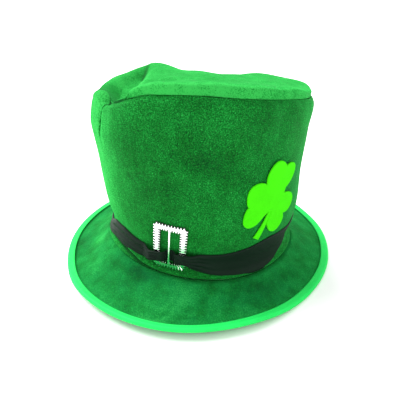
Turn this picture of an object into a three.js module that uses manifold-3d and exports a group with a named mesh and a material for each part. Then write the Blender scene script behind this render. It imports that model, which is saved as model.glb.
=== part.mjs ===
// Leprechaun top hat: a tall soft crown of crushed velour, a bound brim, a satin band threaded
// through a silver slide buckle, and a felt shamrock. Millimetres, +Z up, the buckle at the front
// (-Y), the origin on the floor under the middle of the brim. The pieces are worked out round the
// crown's own axis. Azimuth runs in degrees from the front towards +X.
import * as THREE from "three";
import { mergeVertices } from "three/addons/utils/BufferGeometryUtils.js";
import { TessellateModifier } from "three/addons/modifiers/TessellateModifier.js";
import Module from "manifold-3d";

const wasm = await Module();
wasm.setup();

// Driving dimensions.
const crownRadius = 100; // outside of the side wall, to which the girth shares below refer
const crownOval = 2; // how much further the crown reaches front and back than to the sides
const crownHeight = 162; // from the seat on the brim to the mean of the top seam
const seatHeight = 22; // height of the brim seam over the floor, at the back
const wallThickness = 3; // velour on its foam backing, the side wall
const tipThickness = 3; // the same cloth, the tip
const pillowHeight = 8; // how far the tip's cloth stands over its own thickness
const tuckDepth = 8; // how far the tip sinks behind the folded side wall
const creaseDepth = 9; // the valley folded into the tip
const brimRadius = 150; // mean reach of the brim with its binding
const brimThickness = 3; // padded
const brimLift = 8; // how far the front of the brim is raised over its resting sides
const brimCurl = 2; // how far the lifted edge turns up over the brim inside it
const axisRight = 1.55; // how far the crown's axis stands to the right of the brim's middle
const axisForward = 2.25; // and in front of it
const seamLedge = 4; // width of the brim under the foot of the side wall
const bindingWidth = 7; // seen from above
const bindingThickness = 0.7;
const tapeBend = { inside: 0.5, outside: 0.25 }; // straight part of its nose, as shares of brimThickness
const bandWidth = 34; // satin laid out flat
const bandThickness = 1;
const bandHeight = 40; // mean height of the band's middle over the floor
const buckleWidth = 29;
const buckleHeight = 48;
const buckleBorder = 5.2; // width of the buckle's border
const buckleThickness = 1.8;
const buckleMiddle = 59; // height of the buckle's middle over the floor
const buckleTurn = 5; // degrees that it leans clockwise
const slideBarWidth = 2.4; // the upright bar that holds the band in
const slideBarThickness = 1.4;
const toothPitch = 3.5; // the sawtooth edge of the border
const toothDepth = 0.9;
const buckleAzimuth = 0;
const leafSize = 39; // across one leaf of the shamrock
const shamrockAzimuth = 52;
const shamrockMiddle = 95; // height of the point where the leaves meet
const shamrockTurn = 21; // degrees that it leans clockwise
const feltThickness = 1.4;
const sewnGap = 0.3; // between cloths sewn to each other
const laidGap = 0.6; // between the wall and what is laid round it

// The side wall from foot to top seam: height as a share of the way up, girth and lean towards the
// right side as shares of crownRadius.
const leanAzimuth = 104;
const wallProfile = [
  { height: 0, girth: 1.012, lean: 0.023 },
  { height: 0.03, girth: 0.99, lean: 0.028 },
  { height: 0.065, girth: 0.97, lean: 0.035 },
  { height: 0.11, girth: 0.965, lean: 0.044 },
  { height: 0.17, girth: 0.979, lean: 0.050 },
  { height: 0.25, girth: 1.004, lean: 0.046 },
  { height: 0.36, girth: 1.02, lean: 0.040 },
  { height: 0.56, girth: 1.03, lean: 0.025 },
  { height: 0.82, girth: 1.052, lean: 0.021 },
  { height: 0.93, girth: 1.056, lean: 0.026 },
  { height: 0.975, girth: 1.046, lean: 0.026 },
  { height: 1, girth: 1.015, lean: 0.026 },
];

// The foot of the side wall on the brim: height as a share of seatHeight.
const seatTable = [
  { azimuth: -150, height: 1 },
  { azimuth: -100, height: 1.08 },
  { azimuth: -72, height: 1.32 },
  { azimuth: -42, height: 1.53 },
  { azimuth: -28, height: 1.48 },
  { azimuth: -12, height: 1.32 },
  { azimuth: 10, height: 1.17 },
  { azimuth: 35, height: 0.98 },
  { azimuth: 60, height: 0.92 },
  { azimuth: 110, height: 0.88 },
  { azimuth: 165, height: 0.98 },
];

// The top seam: height as a share of crownHeight over the seat, reach as a share of the wall's own
// radius there, pillow as the share of pillowHeight by which the tip's cloth rises behind the seam,
// tuck as the share of tuckDepth by which it sinks. The side wall folds in over the tip on the left,
// beside the notch at its sewn side seam.
const rimTable = [
  { azimuth: -160, height: 0.89, reach: 1, pillow: 0.95, tuck: 0 },
  { azimuth: -133, height: 0.965, reach: 1, pillow: 0.95, tuck: 0 },
  { azimuth: -112, height: 0.945, reach: 1, pillow: 0.8, tuck: 0 },
  { azimuth: -90, height: 0.925, reach: 0.985, pillow: 0.7, tuck: 0 },
  { azimuth: -75, height: 0.93, reach: 0.975, pillow: 0.1, tuck: 0.2 },
  { azimuth: -62, height: 0.97, reach: 0.965, pillow: 0, tuck: 0.8 },
  { azimuth: -48, height: 1.005, reach: 0.955, pillow: 0, tuck: 1 },
  { azimuth: -35, height: 0.958, reach: 0.97, pillow: 0, tuck: 0.5 },
  { azimuth: -25, height: 0.99, reach: 0.995, pillow: 0, tuck: 0 },
  { azimuth: -15, height: 1.027, reach: 1, pillow: 0.35, tuck: 0 },
  { azimuth: -5, height: 1.053, reach: 1, pillow: 0.8, tuck: 0 },
  { azimuth: 10, height: 1.058, reach: 1, pillow: 0.9, tuck: 0 },
  { azimuth: 35, height: 1.033, reach: 1.005, pillow: 1, tuck: 0 },
  { azimuth: 60, height: 0.996, reach: 1.015, pillow: 0.85, tuck: 0 },
  { azimuth: 85, height: 0.954, reach: 1.02, pillow: 0.55, tuck: 0 },
  { azimuth: 110, height: 0.935, reach: 1.015, pillow: 0.6, tuck: 0 },
  { azimuth: 140, height: 0.907, reach: 1, pillow: 0.95, tuck: 0 },
  { azimuth: 170, height: 0.866, reach: 1, pillow: 0.95, tuck: 0 },
];

// The tip from seam to middle: reach as a share of the seam's radius, edge as a share of the cloth's
// thickness, rise as a share of the pillow, tuck as a share of the tuck, sag as the share of the way
// from the seam's own height to the middle's.
const tipProfile = [
  { reach: 1, edge: 0, rise: 0, tuck: 0, sag: 0 },
  { reach: 1.004, edge: 0.75, rise: 0.3, tuck: 0, sag: 0 },
  { reach: 0.99, edge: 1, rise: 0.66, tuck: 0, sag: 0.02 },
  { reach: 0.93, edge: 1, rise: 0.9, tuck: 0.3, sag: 0.08 },
  { reach: 0.84, edge: 1, rise: 1, tuck: 1, sag: 0.2 },
  { reach: 0.64, edge: 1, rise: 0.98, tuck: 0.8, sag: 0.46 },
  { reach: 0.42, edge: 1, rise: 0.94, tuck: 0.5, sag: 0.73 },
  { reach: 0.2, edge: 1, rise: 0.9, tuck: 0.2, sag: 0.93 },
];
const tipMiddle = 0.955; // height of the tip's middle, as a share of crownHeight over the seat

// The valley across the tip: its two ends as azimuths of the seam, and its width to the left and to
// the right as shares of crownRadius.
const crease = { from: -33, to: -133, left: 0.34, right: 0.09 };
const creaseRun = { past: 0.15, within: 0.25 }; // shares of its length over which each end fades in
const creaseStart = { none: 0.05, full: 0.25 }; // and of the radius, from the seam inwards

// Dents in the side wall: azimuth, height as a share of the way up, width round the crown and height
// as shares of crownRadius, depth as a share of wallThickness (negative stands out).
const wallDents = [
  { azimuth: -36, height: 0.9, width: 0.045, tall: 0.3, depth: 0.75 },
  { azimuth: -60, height: 0.84, width: 0.17, tall: 0.25, depth: -0.3 },
  { azimuth: 53, height: 0.9, width: 0.06, tall: 0.2, depth: 0.4 },
  { azimuth: -20, height: 0.5, width: 0.35, tall: 0.3, depth: 0.5 },
  { azimuth: 28, height: 0.35, width: 0.3, tall: 0.25, depth: -0.5 },
  { azimuth: 88, height: 0.14, width: 0.25, tall: 0.12, depth: 1.7 },
  { azimuth: 140, height: 0.5, width: 0.25, tall: 0.5, depth: 0.7 },
  { azimuth: 165, height: 0.7, width: 0.4, tall: 0.35, depth: 1.3 },
  { azimuth: -150, height: 0.4, width: 0.35, tall: 0.4, depth: 0.9 },
  { azimuth: -108, height: 0.25, width: 0.2, tall: 0.25, depth: 0.8 },
];

// The brim's edge: reach as a share of brimRadius, lift as a share of brimLift. Where the lift is 0
// the brim rests on the floor, flattened by the weight of the hat.
const edgeTable = [
  { azimuth: -150, reach: 1.04, lift: 0.55 },
  { azimuth: -120, reach: 1.03, lift: 0 },
  { azimuth: -90, reach: 1, lift: 0 },
  { azimuth: -60, reach: 0.984, lift: 0 },
  { azimuth: -30, reach: 1.003, lift: 0.83 },
  { azimuth: 0, reach: 1.01, lift: 1 },
  { azimuth: 30, reach: 0.982, lift: 0.83 },
  { azimuth: 60, reach: 0.958, lift: 0 },
  { azimuth: 90, reach: 0.978, lift: 0 },
  { azimuth: 120, reach: 1.018, lift: 0 },
  { azimuth: 150, reach: 1.035, lift: 0.55 },
  { azimuth: 180, reach: 1.04, lift: 0.75 },
];

// The brim from its edge to the foot of the wall: way as a share of that distance, rise as a share
// of the height to climb, dip as a share of brimCurl where the edge is fully lifted.
const brimProfile = [
  { way: 0, rise: 0, dip: 0 },
  { way: 0.17, rise: 0, dip: 1 },
  { way: 0.4, rise: 0.17, dip: 0.8 },
  { way: 0.62, rise: 0.42, dip: 0.4 },
  { way: 0.82, rise: 0.7, dip: 0.1 },
  { way: 1, rise: 1, dip: 0 },
];

// The band: height of its middle over the floor as a share of bandHeight, width as a share of
// bandWidth where it is bunched.
const bandTable = [
  { azimuth: -140, height: 1.04, width: 0.74 },
  { azimuth: -100, height: 1.08, width: 0.7 },
  { azimuth: -72, height: 1.14, width: 0.66 },
  { azimuth: -52, height: 1.19, width: 0.7 },
  { azimuth: -38, height: 1.3, width: 0.74 },
  { azimuth: -24, height: 1.25, width: 0.54 },
  { azimuth: -15, height: 1.14, width: 0.46 },
  { azimuth: -8, height: 1.2, width: 0.36 },
  { azimuth: 7, height: 1.2, width: 0.37 },
  { azimuth: 14, height: 1.08, width: 0.57 },
  { azimuth: 28, height: 0.99, width: 0.72 },
  { azimuth: 40, height: 0.98, width: 0.89 },
  { azimuth: 52, height: 1.02, width: 1.04 },
  { azimuth: 60, height: 1.05, width: 0.95 },
  { azimuth: 68, height: 1.11, width: 0.75 },
  { azimuth: 80, height: 1.14, width: 0.56 },
  { azimuth: 110, height: 1.06, width: 0.62 },
  { azimuth: 160, height: 0.98, width: 0.74 },
];

const turn = 360;
const weldDistance = 1e-4;
const columnStep = 6;
const foldStart = 0.8; // share of the way up at which the side wall starts to fold in
const footRows = 4; // rows of the wall's profile that get one more between them, where it curves most
const fineStep = 1.5;
const fineReach = 24; // degrees to each side of the buckle where the band has finer columns
const radians = THREE.MathUtils.degToRad;

// A value between two rows, by a cubic whose slopes never overshoot the rows.
function hermite(t, span, a, b, slopeA, slopeB) {
  const t2 = t * t;
  const t3 = t2 * t;
  return a * (2 * t3 - 3 * t2 + 1) + b * (3 * t2 - 2 * t3)
    + span * (slopeA * (t3 - 2 * t2 + t) + slopeB * (t3 - t2));
}

function gentleSlope(before, after) {
  return before * after > 0 ? (2 * before * after) / (before + after) : 0;
}

// One column of a table at a value of its key. A closed table goes round the hat.
function read(table, key, column, at, closed) {
  const count = table.length;
  const row = (i) => {
    const wraps = closed ? Math.floor(i / count) : 0;
    const index = closed ? i - wraps * count : THREE.MathUtils.clamp(i, 0, count - 1);
    return { x: table[index][key] + wraps * turn, y: table[index][column] };
  };
  const start = table[0][key];
  const x = closed ? start + THREE.MathUtils.euclideanModulo(at - start, turn)
    : THREE.MathUtils.clamp(at, start, table[count - 1][key]);
  let i = 0;
  while (i < count - (closed ? 1 : 2) && row(i + 1).x <= x) i += 1;
  const [p, q, r, s] = [row(i - 1), row(i), row(i + 1), row(i + 2)];
  const slope = (a, b) => (b.x === a.x ? 0 : (b.y - a.y) / (b.x - a.x));
  const middle = slope(q, r);
  const first = p.x === q.x ? middle : gentleSlope(slope(p, q), middle);
  const last = s.x === r.x ? middle : gentleSlope(middle, slope(r, s));
  return hermite((x - q.x) / (r.x - q.x), r.x - q.x, q.y, r.y, first, last);
}

const around = (table, column, azimuth) => read(table, "azimuth", column, azimuth, true);
const up = (column, height) => read(wallProfile, "height", column, height, false);

function angleBetween(a, b) {
  return THREE.MathUtils.euclideanModulo(a - b + turn / 2, turn) - turn / 2;
}

function place(azimuth, radius, z) {
  const angle = radians(azimuth);
  return new THREE.Vector3(radius * Math.sin(angle), -radius * Math.cos(angle), z);
}

const seatAt = (azimuth) => seatHeight * around(seatTable, "height", azimuth);
const rimAt = (azimuth) => seatHeight + crownHeight * around(rimTable, "height", azimuth);

function dentAt(azimuth, height) {
  let depth = 0;
  for (const dent of wallDents) {
    const across = radians(angleBetween(azimuth, dent.azimuth)) / dent.width;
    const along = ((height - dent.height) * crownHeight) / (dent.tall * crownRadius);
    depth += dent.depth * wallThickness * Math.exp(-across * across - along * along);
  }
  return depth;
}

// Outside of the side wall: its radius at an azimuth and a share of the way up.
function wallRadius(azimuth, height) {
  const angle = radians(azimuth);
  const lean = up("lean", height) * Math.cos(radians(azimuth - leanAzimuth));
  const oval = crownOval * Math.cos(angle) ** 2;
  const folded = THREE.MathUtils.smoothstep(height, foldStart, 1);
  const fold = THREE.MathUtils.lerp(1, around(rimTable, "reach", azimuth), folded);
  return crownRadius * (up("girth", height) + lean) * fold + oval - dentAt(azimuth, height);
}

function wallShare(azimuth, z) {
  const seat = seatAt(azimuth);
  return (z - seat) / (rimAt(azimuth) - seat);
}

// A point over the side wall, lifted off it along its own normal.
function overWall(azimuth, z, lift) {
  const step = 1;
  const radiusAt = (a, height) => wallRadius(a, wallShare(a, height));
  const here = place(azimuth, radiusAt(azimuth, z), z);
  const side = place(azimuth + step, radiusAt(azimuth + step, z), z).sub(here);
  const rise = place(azimuth, radiusAt(azimuth, z + step), z + step).sub(here);
  return here.addScaledVector(side.cross(rise).normalize(), lift);
}

// The other side of a cloth whose section, as [radius, z] pairs, lies in the plane of one azimuth.
function thicken(line, thickness) {
  return line.map(([radius, z], i) => {
    const [r0, z0] = line[Math.max(i - 1, 0)];
    const [r1, z1] = line[Math.min(i + 1, line.length - 1)];
    const length = Math.hypot(r1 - r0, z1 - z0);
    return [radius - (thickness * (z1 - z0)) / length, z + (thickness * (r1 - r0)) / length];
  });
}

function bodyVolume(points, faces) {
  let volume = 0;
  for (let i = 0; i < faces.length; i += 3) {
    const [a, b, c] = [0, 1, 2].map((k) => points[faces[i + k]]);
    volume += a.dot(new THREE.Vector3().crossVectors(b, c)) / 6;
  }
  return volume;
}

function geometryOf(points, faces) {
  if (bodyVolume(points, faces) < 0) faces.reverse();
  const geometry = new THREE.BufferGeometry().setFromPoints(points);
  geometry.setIndex(faces);
  geometry.computeVertexNormals();
  return geometry;
}

// A solid swept round the hat. Each azimuth gives the same number of points; a closed section makes
// a ring, an open one starts and ends on the axis and makes a disc.
function sweptRound(azimuths, section, closed) {
  const loops = azimuths.map(section);
  const size = loops[0].length;
  const points = closed ? loops.flat() : loops.map((loop) => loop.slice(1, -1)).flat();
  const inner = closed ? size : size - 2;
  const poles = [points.length, points.length + 1];
  if (!closed) points.push(loops[0][0], loops[0][size - 1]);
  const index = (column, i) => {
    if (closed) return column * size + (i % size);
    if (i === 0) return poles[0];
    return i === size - 1 ? poles[1] : column * inner + i - 1;
  };
  const faces = [];
  for (let column = 0; column < loops.length; column += 1) {
    const next = (column + 1) % loops.length;
    for (let i = 0; i < (closed ? size : size - 1); i += 1) {
      const [a, b] = [index(column, i), index(column, i + 1)];
      const [c, d] = [index(next, i), index(next, i + 1)];
      if (a !== c) faces.push(a, b, c);
      if (b !== d) faces.push(b, d, c);
    }
  }
  return geometryOf(points, faces);
}

function columns(fineHalf = 0) {
  const list = [];
  let azimuth = -turn / 2;
  while (azimuth < turn / 2) {
    list.push(azimuth);
    azimuth += azimuth >= -fineHalf && azimuth < fineHalf ? fineStep : columnStep;
  }
  return list;
}

function mesh(name, geometry, color, roughness, metalness = 0) {
  const material = new THREE.MeshStandardMaterial({ color, roughness, metalness });
  const made = new THREE.Mesh(geometry, material);
  made.name = name;
  return made;
}

function wallRows() {
  const heights = wallProfile.map(({ height }) => height);
  return heights.flatMap((height, i) => (i < footRows ? [height, (height + heights[i + 1]) / 2] : [height]));
}

// Side wall: a tube of cloth, open below and above.
function crownSide() {
  const section = (azimuth) => {
    const seat = seatAt(azimuth);
    const rim = rimAt(azimuth);
    const line = wallRows().map((height) => [
      wallRadius(azimuth, height), seat + (rim - seat) * height,
    ]);
    const inside = thicken(line, wallThickness);
    inside[0][1] = line[0][1];
    return [...line, ...inside.reverse()].map(([radius, z]) => place(azimuth, radius, z));
  };
  return sweptRound(columns(), section, true);
}

// Depth of the valley across the tip at a point of the plan.
function creaseAt(point) {
  const seam = (azimuth) => place(azimuth, wallRadius(azimuth, 1), 0);
  const from = seam(crease.from);
  const line = seam(crease.to).sub(from);
  const offset = new THREE.Vector3(point.x, point.y, 0).sub(from);
  const along = offset.dot(line) / line.lengthSq();
  const across = line.clone().cross(offset).z / line.length();
  const width = crownRadius * (across > 0 ? crease.left : crease.right);
  const end = (way) => THREE.MathUtils.smoothstep(way, -creaseRun.past, creaseRun.within);
  return creaseDepth * end(along) * end(1 - along) * Math.exp(-((across / width) ** 2));
}

// Tip: a slumped disc of cloth, sewn to the top of the wall.
function tipSection(azimuth) {
  const radius = wallRadius(azimuth, 1);
  const seam = rimAt(azimuth) + sewnGap;
  const middle = seatHeight + crownHeight * tipMiddle;
  const pillow = pillowHeight * around(rimTable, "pillow", azimuth);
  const tuck = tuckDepth * around(rimTable, "tuck", azimuth);
  const line = tipProfile.map((row) => {
    const at = place(azimuth, radius * row.reach, 0);
    const fade = THREE.MathUtils.smoothstep(1 - row.reach, creaseStart.none, creaseStart.full);
    const height = THREE.MathUtils.lerp(seam, middle, row.sag) + tipThickness * row.edge;
    const puff = THREE.MathUtils.lerp(pillow, pillowHeight, row.sag) * row.rise;
    return [radius * row.reach, height + puff - tuck * row.tuck - creaseAt(at) * fade];
  });
  const puff = pillowHeight * tipProfile.at(-1).rise;
  const top = middle + tipThickness + puff - creaseAt(place(0, 0, 0));
  return [...line, [0, top]];
}

function crownTip() {
  const section = (azimuth) => {
    const line = tipSection(azimuth);
    const under = thicken(line, tipThickness).map(([radius, z]) => [Math.max(radius, 0), z]);
    under[0] = [line[0][0] - tipThickness, line[0][1]];
    const last = line.length - 1;
    under[last] = [0, line[last][1] - tipThickness];
    const loop = [...line.toReversed(), ...under];
    return loop.map(([radius, z]) => place(azimuth, radius, z));
  };
  return sweptRound(columns(), section, false);
}

// Upper side of the brim as [radius, z] from the edge of the cloth to its head opening.
function brimLine(azimuth) {
  const inset = bindingThickness + sewnGap;
  const edge = brimRadius * around(edgeTable, "reach", azimuth) - inset;
  const foot = wallRadius(azimuth, 0);
  const lift = around(edgeTable, "lift", azimuth);
  const low = brimLift * lift + inset + brimThickness;
  const high = seatAt(azimuth) - sewnGap;
  const line = brimProfile.map(({ way, rise, dip }) => [
    THREE.MathUtils.lerp(edge, foot, way),
    THREE.MathUtils.lerp(low, high, rise) - brimCurl * lift * dip,
  ]);
  return [...line, [foot - seamLedge, high]];
}

function brim() {
  const section = (azimuth) => {
    const line = brimLine(azimuth);
    const under = line.map(([radius, z]) => [radius, z - brimThickness]);
    return [...line, ...under.reverse()].map(([radius, z]) => place(azimuth, radius, z));
  };
  return sweptRound(columns(), section, true);
}

// Binding: a tape folded round the brim's edge.
function brimBinding() {
  const section = (azimuth) => {
    const [edge, low] = brimLine(azimuth)[0];
    const slope = brimSlope(azimuth);
    const reach = bindingWidth - bindingThickness;
    const topLine = [edge - reach, low + sewnGap + slope * reach];
    const bottomLine = [edge - reach, low - brimThickness - sewnGap + slope * reach];
    const middle = low - brimThickness / 2;
    const inside = [
      topLine,
      [edge, low + sewnGap],
      [edge + sewnGap, middle + brimThickness * tapeBend.inside],
      [edge + sewnGap, middle - brimThickness * tapeBend.inside],
      [edge, low - brimThickness - sewnGap],
      bottomLine,
    ];
    const outside = [
      [topLine[0], topLine[1] + bindingThickness],
      [edge - sewnGap, low + sewnGap + bindingThickness],
      [edge + sewnGap + bindingThickness, middle + brimThickness * tapeBend.outside],
      [edge + sewnGap + bindingThickness, middle - brimThickness * tapeBend.outside],
      [edge - sewnGap, low - brimThickness - sewnGap - bindingThickness],
      [bottomLine[0], bottomLine[1] - bindingThickness],
    ];
    return [...inside, ...outside.reverse()].map(([radius, z]) => place(azimuth, radius, z));
  };
  return sweptRound(columns(), section, true);
}

// How much the brim climbs for each millimetre inwards, close to its edge.
function brimSlope(azimuth) {
  const [[r0, z0], [r1, z1]] = brimLine(azimuth);
  return (z1 - z0) / (r0 - r1);
}

// The buckle's own flat axes at a point over the wall: across to the right and up, in millimetres
// from its middle.
function onBuckle(azimuth, z) {
  const across = radians(angleBetween(azimuth, buckleAzimuth)) * crownRadius;
  const height = z - buckleMiddle;
  const lean = radians(buckleTurn);
  return [
    across * Math.cos(lean) - height * Math.sin(lean),
    across * Math.sin(lean) + height * Math.cos(lean),
  ];
}

// The way back from a flat outline, turned clockwise, to a point over the wall.
function bendOver(x, y, lift, azimuth, middle, turned) {
  const lean = radians(turned);
  const across = x * Math.cos(lean) + y * Math.sin(lean);
  const height = y * Math.cos(lean) - x * Math.sin(lean);
  return overWall(azimuth + THREE.MathUtils.radToDeg(across / crownRadius), middle + height, lift);
}

// How far the band stands off the wall: over the buckle's two upright borders, under its slide bar.
function bandLift(azimuth, z) {
  const [across] = onBuckle(azimuth, z);
  const border = (buckleWidth - buckleBorder) / 2;
  const flat = buckleBorder / 2 + toothDepth + laidGap;
  const slope = border - flat - slideBarWidth / 2 - laidGap;
  const over = 1 - THREE.MathUtils.smoothstep(Math.abs(Math.abs(across) - border), flat, flat + slope);
  return laidGap + over * (buckleThickness + laidGap);
}

// Band: one closed loop of satin.
function hatBand() {
  const rows = [-0.5, -0.25, 0, 0.25, 0.5];
  const section = (azimuth) => {
    const middle = bandHeight * around(bandTable, "height", azimuth);
    const width = bandWidth * around(bandTable, "width", azimuth);
    const at = (row, lift) => {
      const z = middle + width * row;
      return overWall(azimuth, z, bandLift(azimuth, z) + lift);
    };
    return [...rows.map((row) => at(row, 0)), ...rows.toReversed().map((row) => at(row, bandThickness))];
  };
  return sweptRound(columns(fineReach), section, true);
}

// One loop round the border: its sides are sawtooth edges, out to the outside and in to the inside.
function borderSections() {
  const corners = [[-1, -1], [1, -1], [1, 1], [-1, 1]].map(([x, y]) => new THREE.Vector2(x, y));
  const outerHalf = new THREE.Vector2(buckleWidth / 2, buckleHeight / 2);
  const innerHalf = outerHalf.clone().subScalar(buckleBorder);
  const sections = [];
  corners.forEach((corner, i) => {
    const next = corners[(i + 1) % corners.length];
    const side = next.clone().sub(corner).multiply(outerHalf);
    const teeth = Math.max(1, Math.round(side.length() / toothPitch));
    const out = new THREE.Vector2(side.y, -side.x).normalize();
    for (let half = 0; half < 2 * teeth; half += 1) {
      const at = corner.clone().lerp(next, half / (2 * teeth));
      const tooth = half % 2 ? toothDepth : 0;
      const outer = at.clone().multiply(outerHalf).addScaledVector(out, tooth);
      const inner = at.clone().multiply(innerHalf).addScaledVector(out, -tooth / 2);
      sections.push([[outer, 0], [outer, buckleThickness], [inner, buckleThickness], [inner, 0]]);
    }
  });
  return sections;
}

const onFront = (x, y, lift) => bendOver(x, y, laidGap + lift, buckleAzimuth, buckleMiddle, buckleTurn);

// Buckle: a toothed border and an upright slide bar across its front, one piece bent to the wall. The
// band lies over the sides of the border and behind the bar.
function buckle() {
  const bent = (section) => section.map(([{ x, y }, lift]) => onFront(x, y, lift));
  const border = sweptRound(borderSections(), bent, true);
  const length = buckleHeight - buckleBorder;
  const steps = Math.ceil(length / toothPitch);
  const bar = new THREE.BoxGeometry(slideBarWidth, length, slideBarThickness, 1, steps, 1);
  const middle = bandThickness + laidGap + slideBarThickness / 2;
  return joined(border, bend(bar, (x, y, z) => onFront(x, y, z + middle)));
}

function solidOf(geometry) {
  const welded = mergeVertices(bare(geometry), weldDistance);
  return new wasm.Manifold(new wasm.Mesh({
    numProp: 3,
    vertProperties: welded.getAttribute("position").array,
    triVerts: new Uint32Array(welded.index.array),
  }));
}

function joined(first, second) {
  const { vertProperties, triVerts } = solidOf(first).add(solidOf(second)).getMesh();
  const geometry = new THREE.BufferGeometry();
  geometry.setAttribute("position", new THREE.BufferAttribute(vertProperties, 3));
  geometry.setIndex(new THREE.BufferAttribute(triVerts, 1));
  geometry.computeVertexNormals();
  return geometry;
}

function bare(geometry) {
  const copy = geometry.clone();
  copy.deleteAttribute("normal");
  copy.deleteAttribute("uv");
  return copy;
}

function bend(flat, move) {
  const welded = mergeVertices(bare(flat), weldDistance);
  const position = welded.getAttribute("position");
  for (let i = 0; i < position.count; i += 1) {
    const point = move(position.getX(i), position.getY(i), position.getZ(i));
    position.setXYZ(i, point.x, point.y, point.z);
  }
  welded.computeVertexNormals();
  return welded;
}

// The shamrock's leaves and stem: direction in degrees clockwise from its top leaf, length and width
// as shares of leafSize. Where a leaf starts, its notch and its end are pairs of shares of its own
// width and length.
const leaves = [
  { direction: 0, length: 1, width: 1, start: [-0.41, 0.44], notch: 0.9, end: [0.2, 0.36] },
  { direction: 113, length: 0.74, width: 1, start: [-0.37, 0.2], notch: 0.76, end: [0.36, 0.17] },
  { direction: -103, length: 0.72, width: 1.04, start: [-0.27, 0.32], notch: 0.9, end: [0.5, 0.41] },
];
const stem = { direction: 185, length: 0.9, width: 0.17 };

// One heart-shaped leaf, clockwise from its left base to its right: a curve up each side, and two
// that meet in the notch.
function addLeaf(shape, { direction, length, width, start, notch, end }) {
  const angle = radians(direction);
  const at = (side, out) => {
    const x = side * width * leafSize;
    const y = out * length * leafSize;
    return [x * Math.cos(angle) + y * Math.sin(angle), y * Math.cos(angle) - x * Math.sin(angle)];
  };
  if (shape.curves.length) shape.lineTo(...at(...start));
  else shape.moveTo(...at(...start));
  shape.bezierCurveTo(...at(-0.58, 0.6), ...at(-0.54, 1), ...at(-0.27, 1));
  shape.bezierCurveTo(...at(-0.12, 1), ...at(-0.03, (1 + notch) / 2), ...at(0, notch));
  shape.bezierCurveTo(...at(0.03, (1 + notch) / 2), ...at(0.12, 1), ...at(0.27, 1));
  shape.bezierCurveTo(...at(0.58, 1), ...at(0.58, 0.55), ...at(...end));
}

function addStem(shape, { direction, length, width }) {
  const angle = radians(direction);
  for (const [side, out] of [[-0.25, 0.2], [-0.4, 0.6], [-0.5, 1], [0.5, 0.97], [0.3, 0.6], [0.25, 0.2]]) {
    const x = side * width * leafSize;
    const y = out * length * leafSize;
    shape.lineTo(x * Math.cos(angle) + y * Math.sin(angle), y * Math.cos(angle) - x * Math.sin(angle));
  }
}

function shamrock() {
  const shape = new THREE.Shape();
  addLeaf(shape, leaves[0]);
  addLeaf(shape, leaves[1]);
  addStem(shape, stem);
  addLeaf(shape, leaves[2]);
  shape.closePath();
  const thick = { depth: feltThickness, bevelEnabled: false, curveSegments: 4 };
  const flat = new THREE.ExtrudeGeometry(shape, thick);
  const fine = new TessellateModifier(leafSize / 3).modify(flat);
  return bend(fine, (x, y, z) => bendOver(x, y, z + laidGap, shamrockAzimuth, shamrockMiddle, shamrockTurn));
}

const velour = "#1a8f3c";
const hat = new THREE.Group();
hat.position.set(axisRight, -axisForward, 0);
hat.add(mesh("crown_side", crownSide(), velour, 0.95));
hat.add(mesh("crown_tip", crownTip(), "#2fae4a", 0.95));
hat.add(mesh("brim", brim(), "#178a40", 0.95));
hat.add(mesh("brim_binding", brimBinding(), "#24ee72", 0.7));
hat.add(mesh("hat_band", hatBand(), "#10251a", 0.4));
hat.add(mesh("buckle", buckle(), "#e6e9ea", 0.2, 1));
hat.add(mesh("shamrock", shamrock(), "#4eee12", 0.95));

export default hat;
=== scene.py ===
"""A leprechaun hat: a tall soft crown of crushed velour, a bound brim, a satin band threaded through
a silver slide buckle, and a felt shamrock. Metres, +Z up, the buckle at the front (-Y). Azimuth runs
in degrees from the front towards +X, round the crown's own axis."""
import math

import bmesh
import bpy
import numpy as np
from mathutils.geometry import delaunay_2d_cdt
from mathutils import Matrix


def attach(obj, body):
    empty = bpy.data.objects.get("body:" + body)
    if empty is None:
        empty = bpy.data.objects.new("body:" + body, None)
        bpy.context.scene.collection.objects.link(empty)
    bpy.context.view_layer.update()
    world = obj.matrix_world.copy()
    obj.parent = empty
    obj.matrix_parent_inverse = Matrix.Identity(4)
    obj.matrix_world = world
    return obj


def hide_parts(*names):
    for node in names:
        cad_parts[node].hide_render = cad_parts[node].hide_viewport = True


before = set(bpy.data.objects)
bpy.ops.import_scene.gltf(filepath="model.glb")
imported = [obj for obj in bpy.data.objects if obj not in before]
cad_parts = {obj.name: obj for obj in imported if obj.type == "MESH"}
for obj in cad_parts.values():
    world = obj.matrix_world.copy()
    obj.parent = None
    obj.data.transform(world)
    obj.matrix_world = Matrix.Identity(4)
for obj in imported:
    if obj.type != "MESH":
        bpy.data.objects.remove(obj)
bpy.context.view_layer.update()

bl_info = {
    "name": "Leprechaun hat",
    "version": (1, 0, 0),
    "blender": (4, 5, 0),
    "location": "3D View > Sidebar > Hat",
    "description": "Dresses a leprechaun hat in velour, satin, felt and a silver buckle",
    "category": "Add Mesh",
}

TURN = 360.0
BODY = "root"

# The crown's axis, from the middle of the brim.
AXIS = np.array([0.00155, -0.00225, 0.0])


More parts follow.
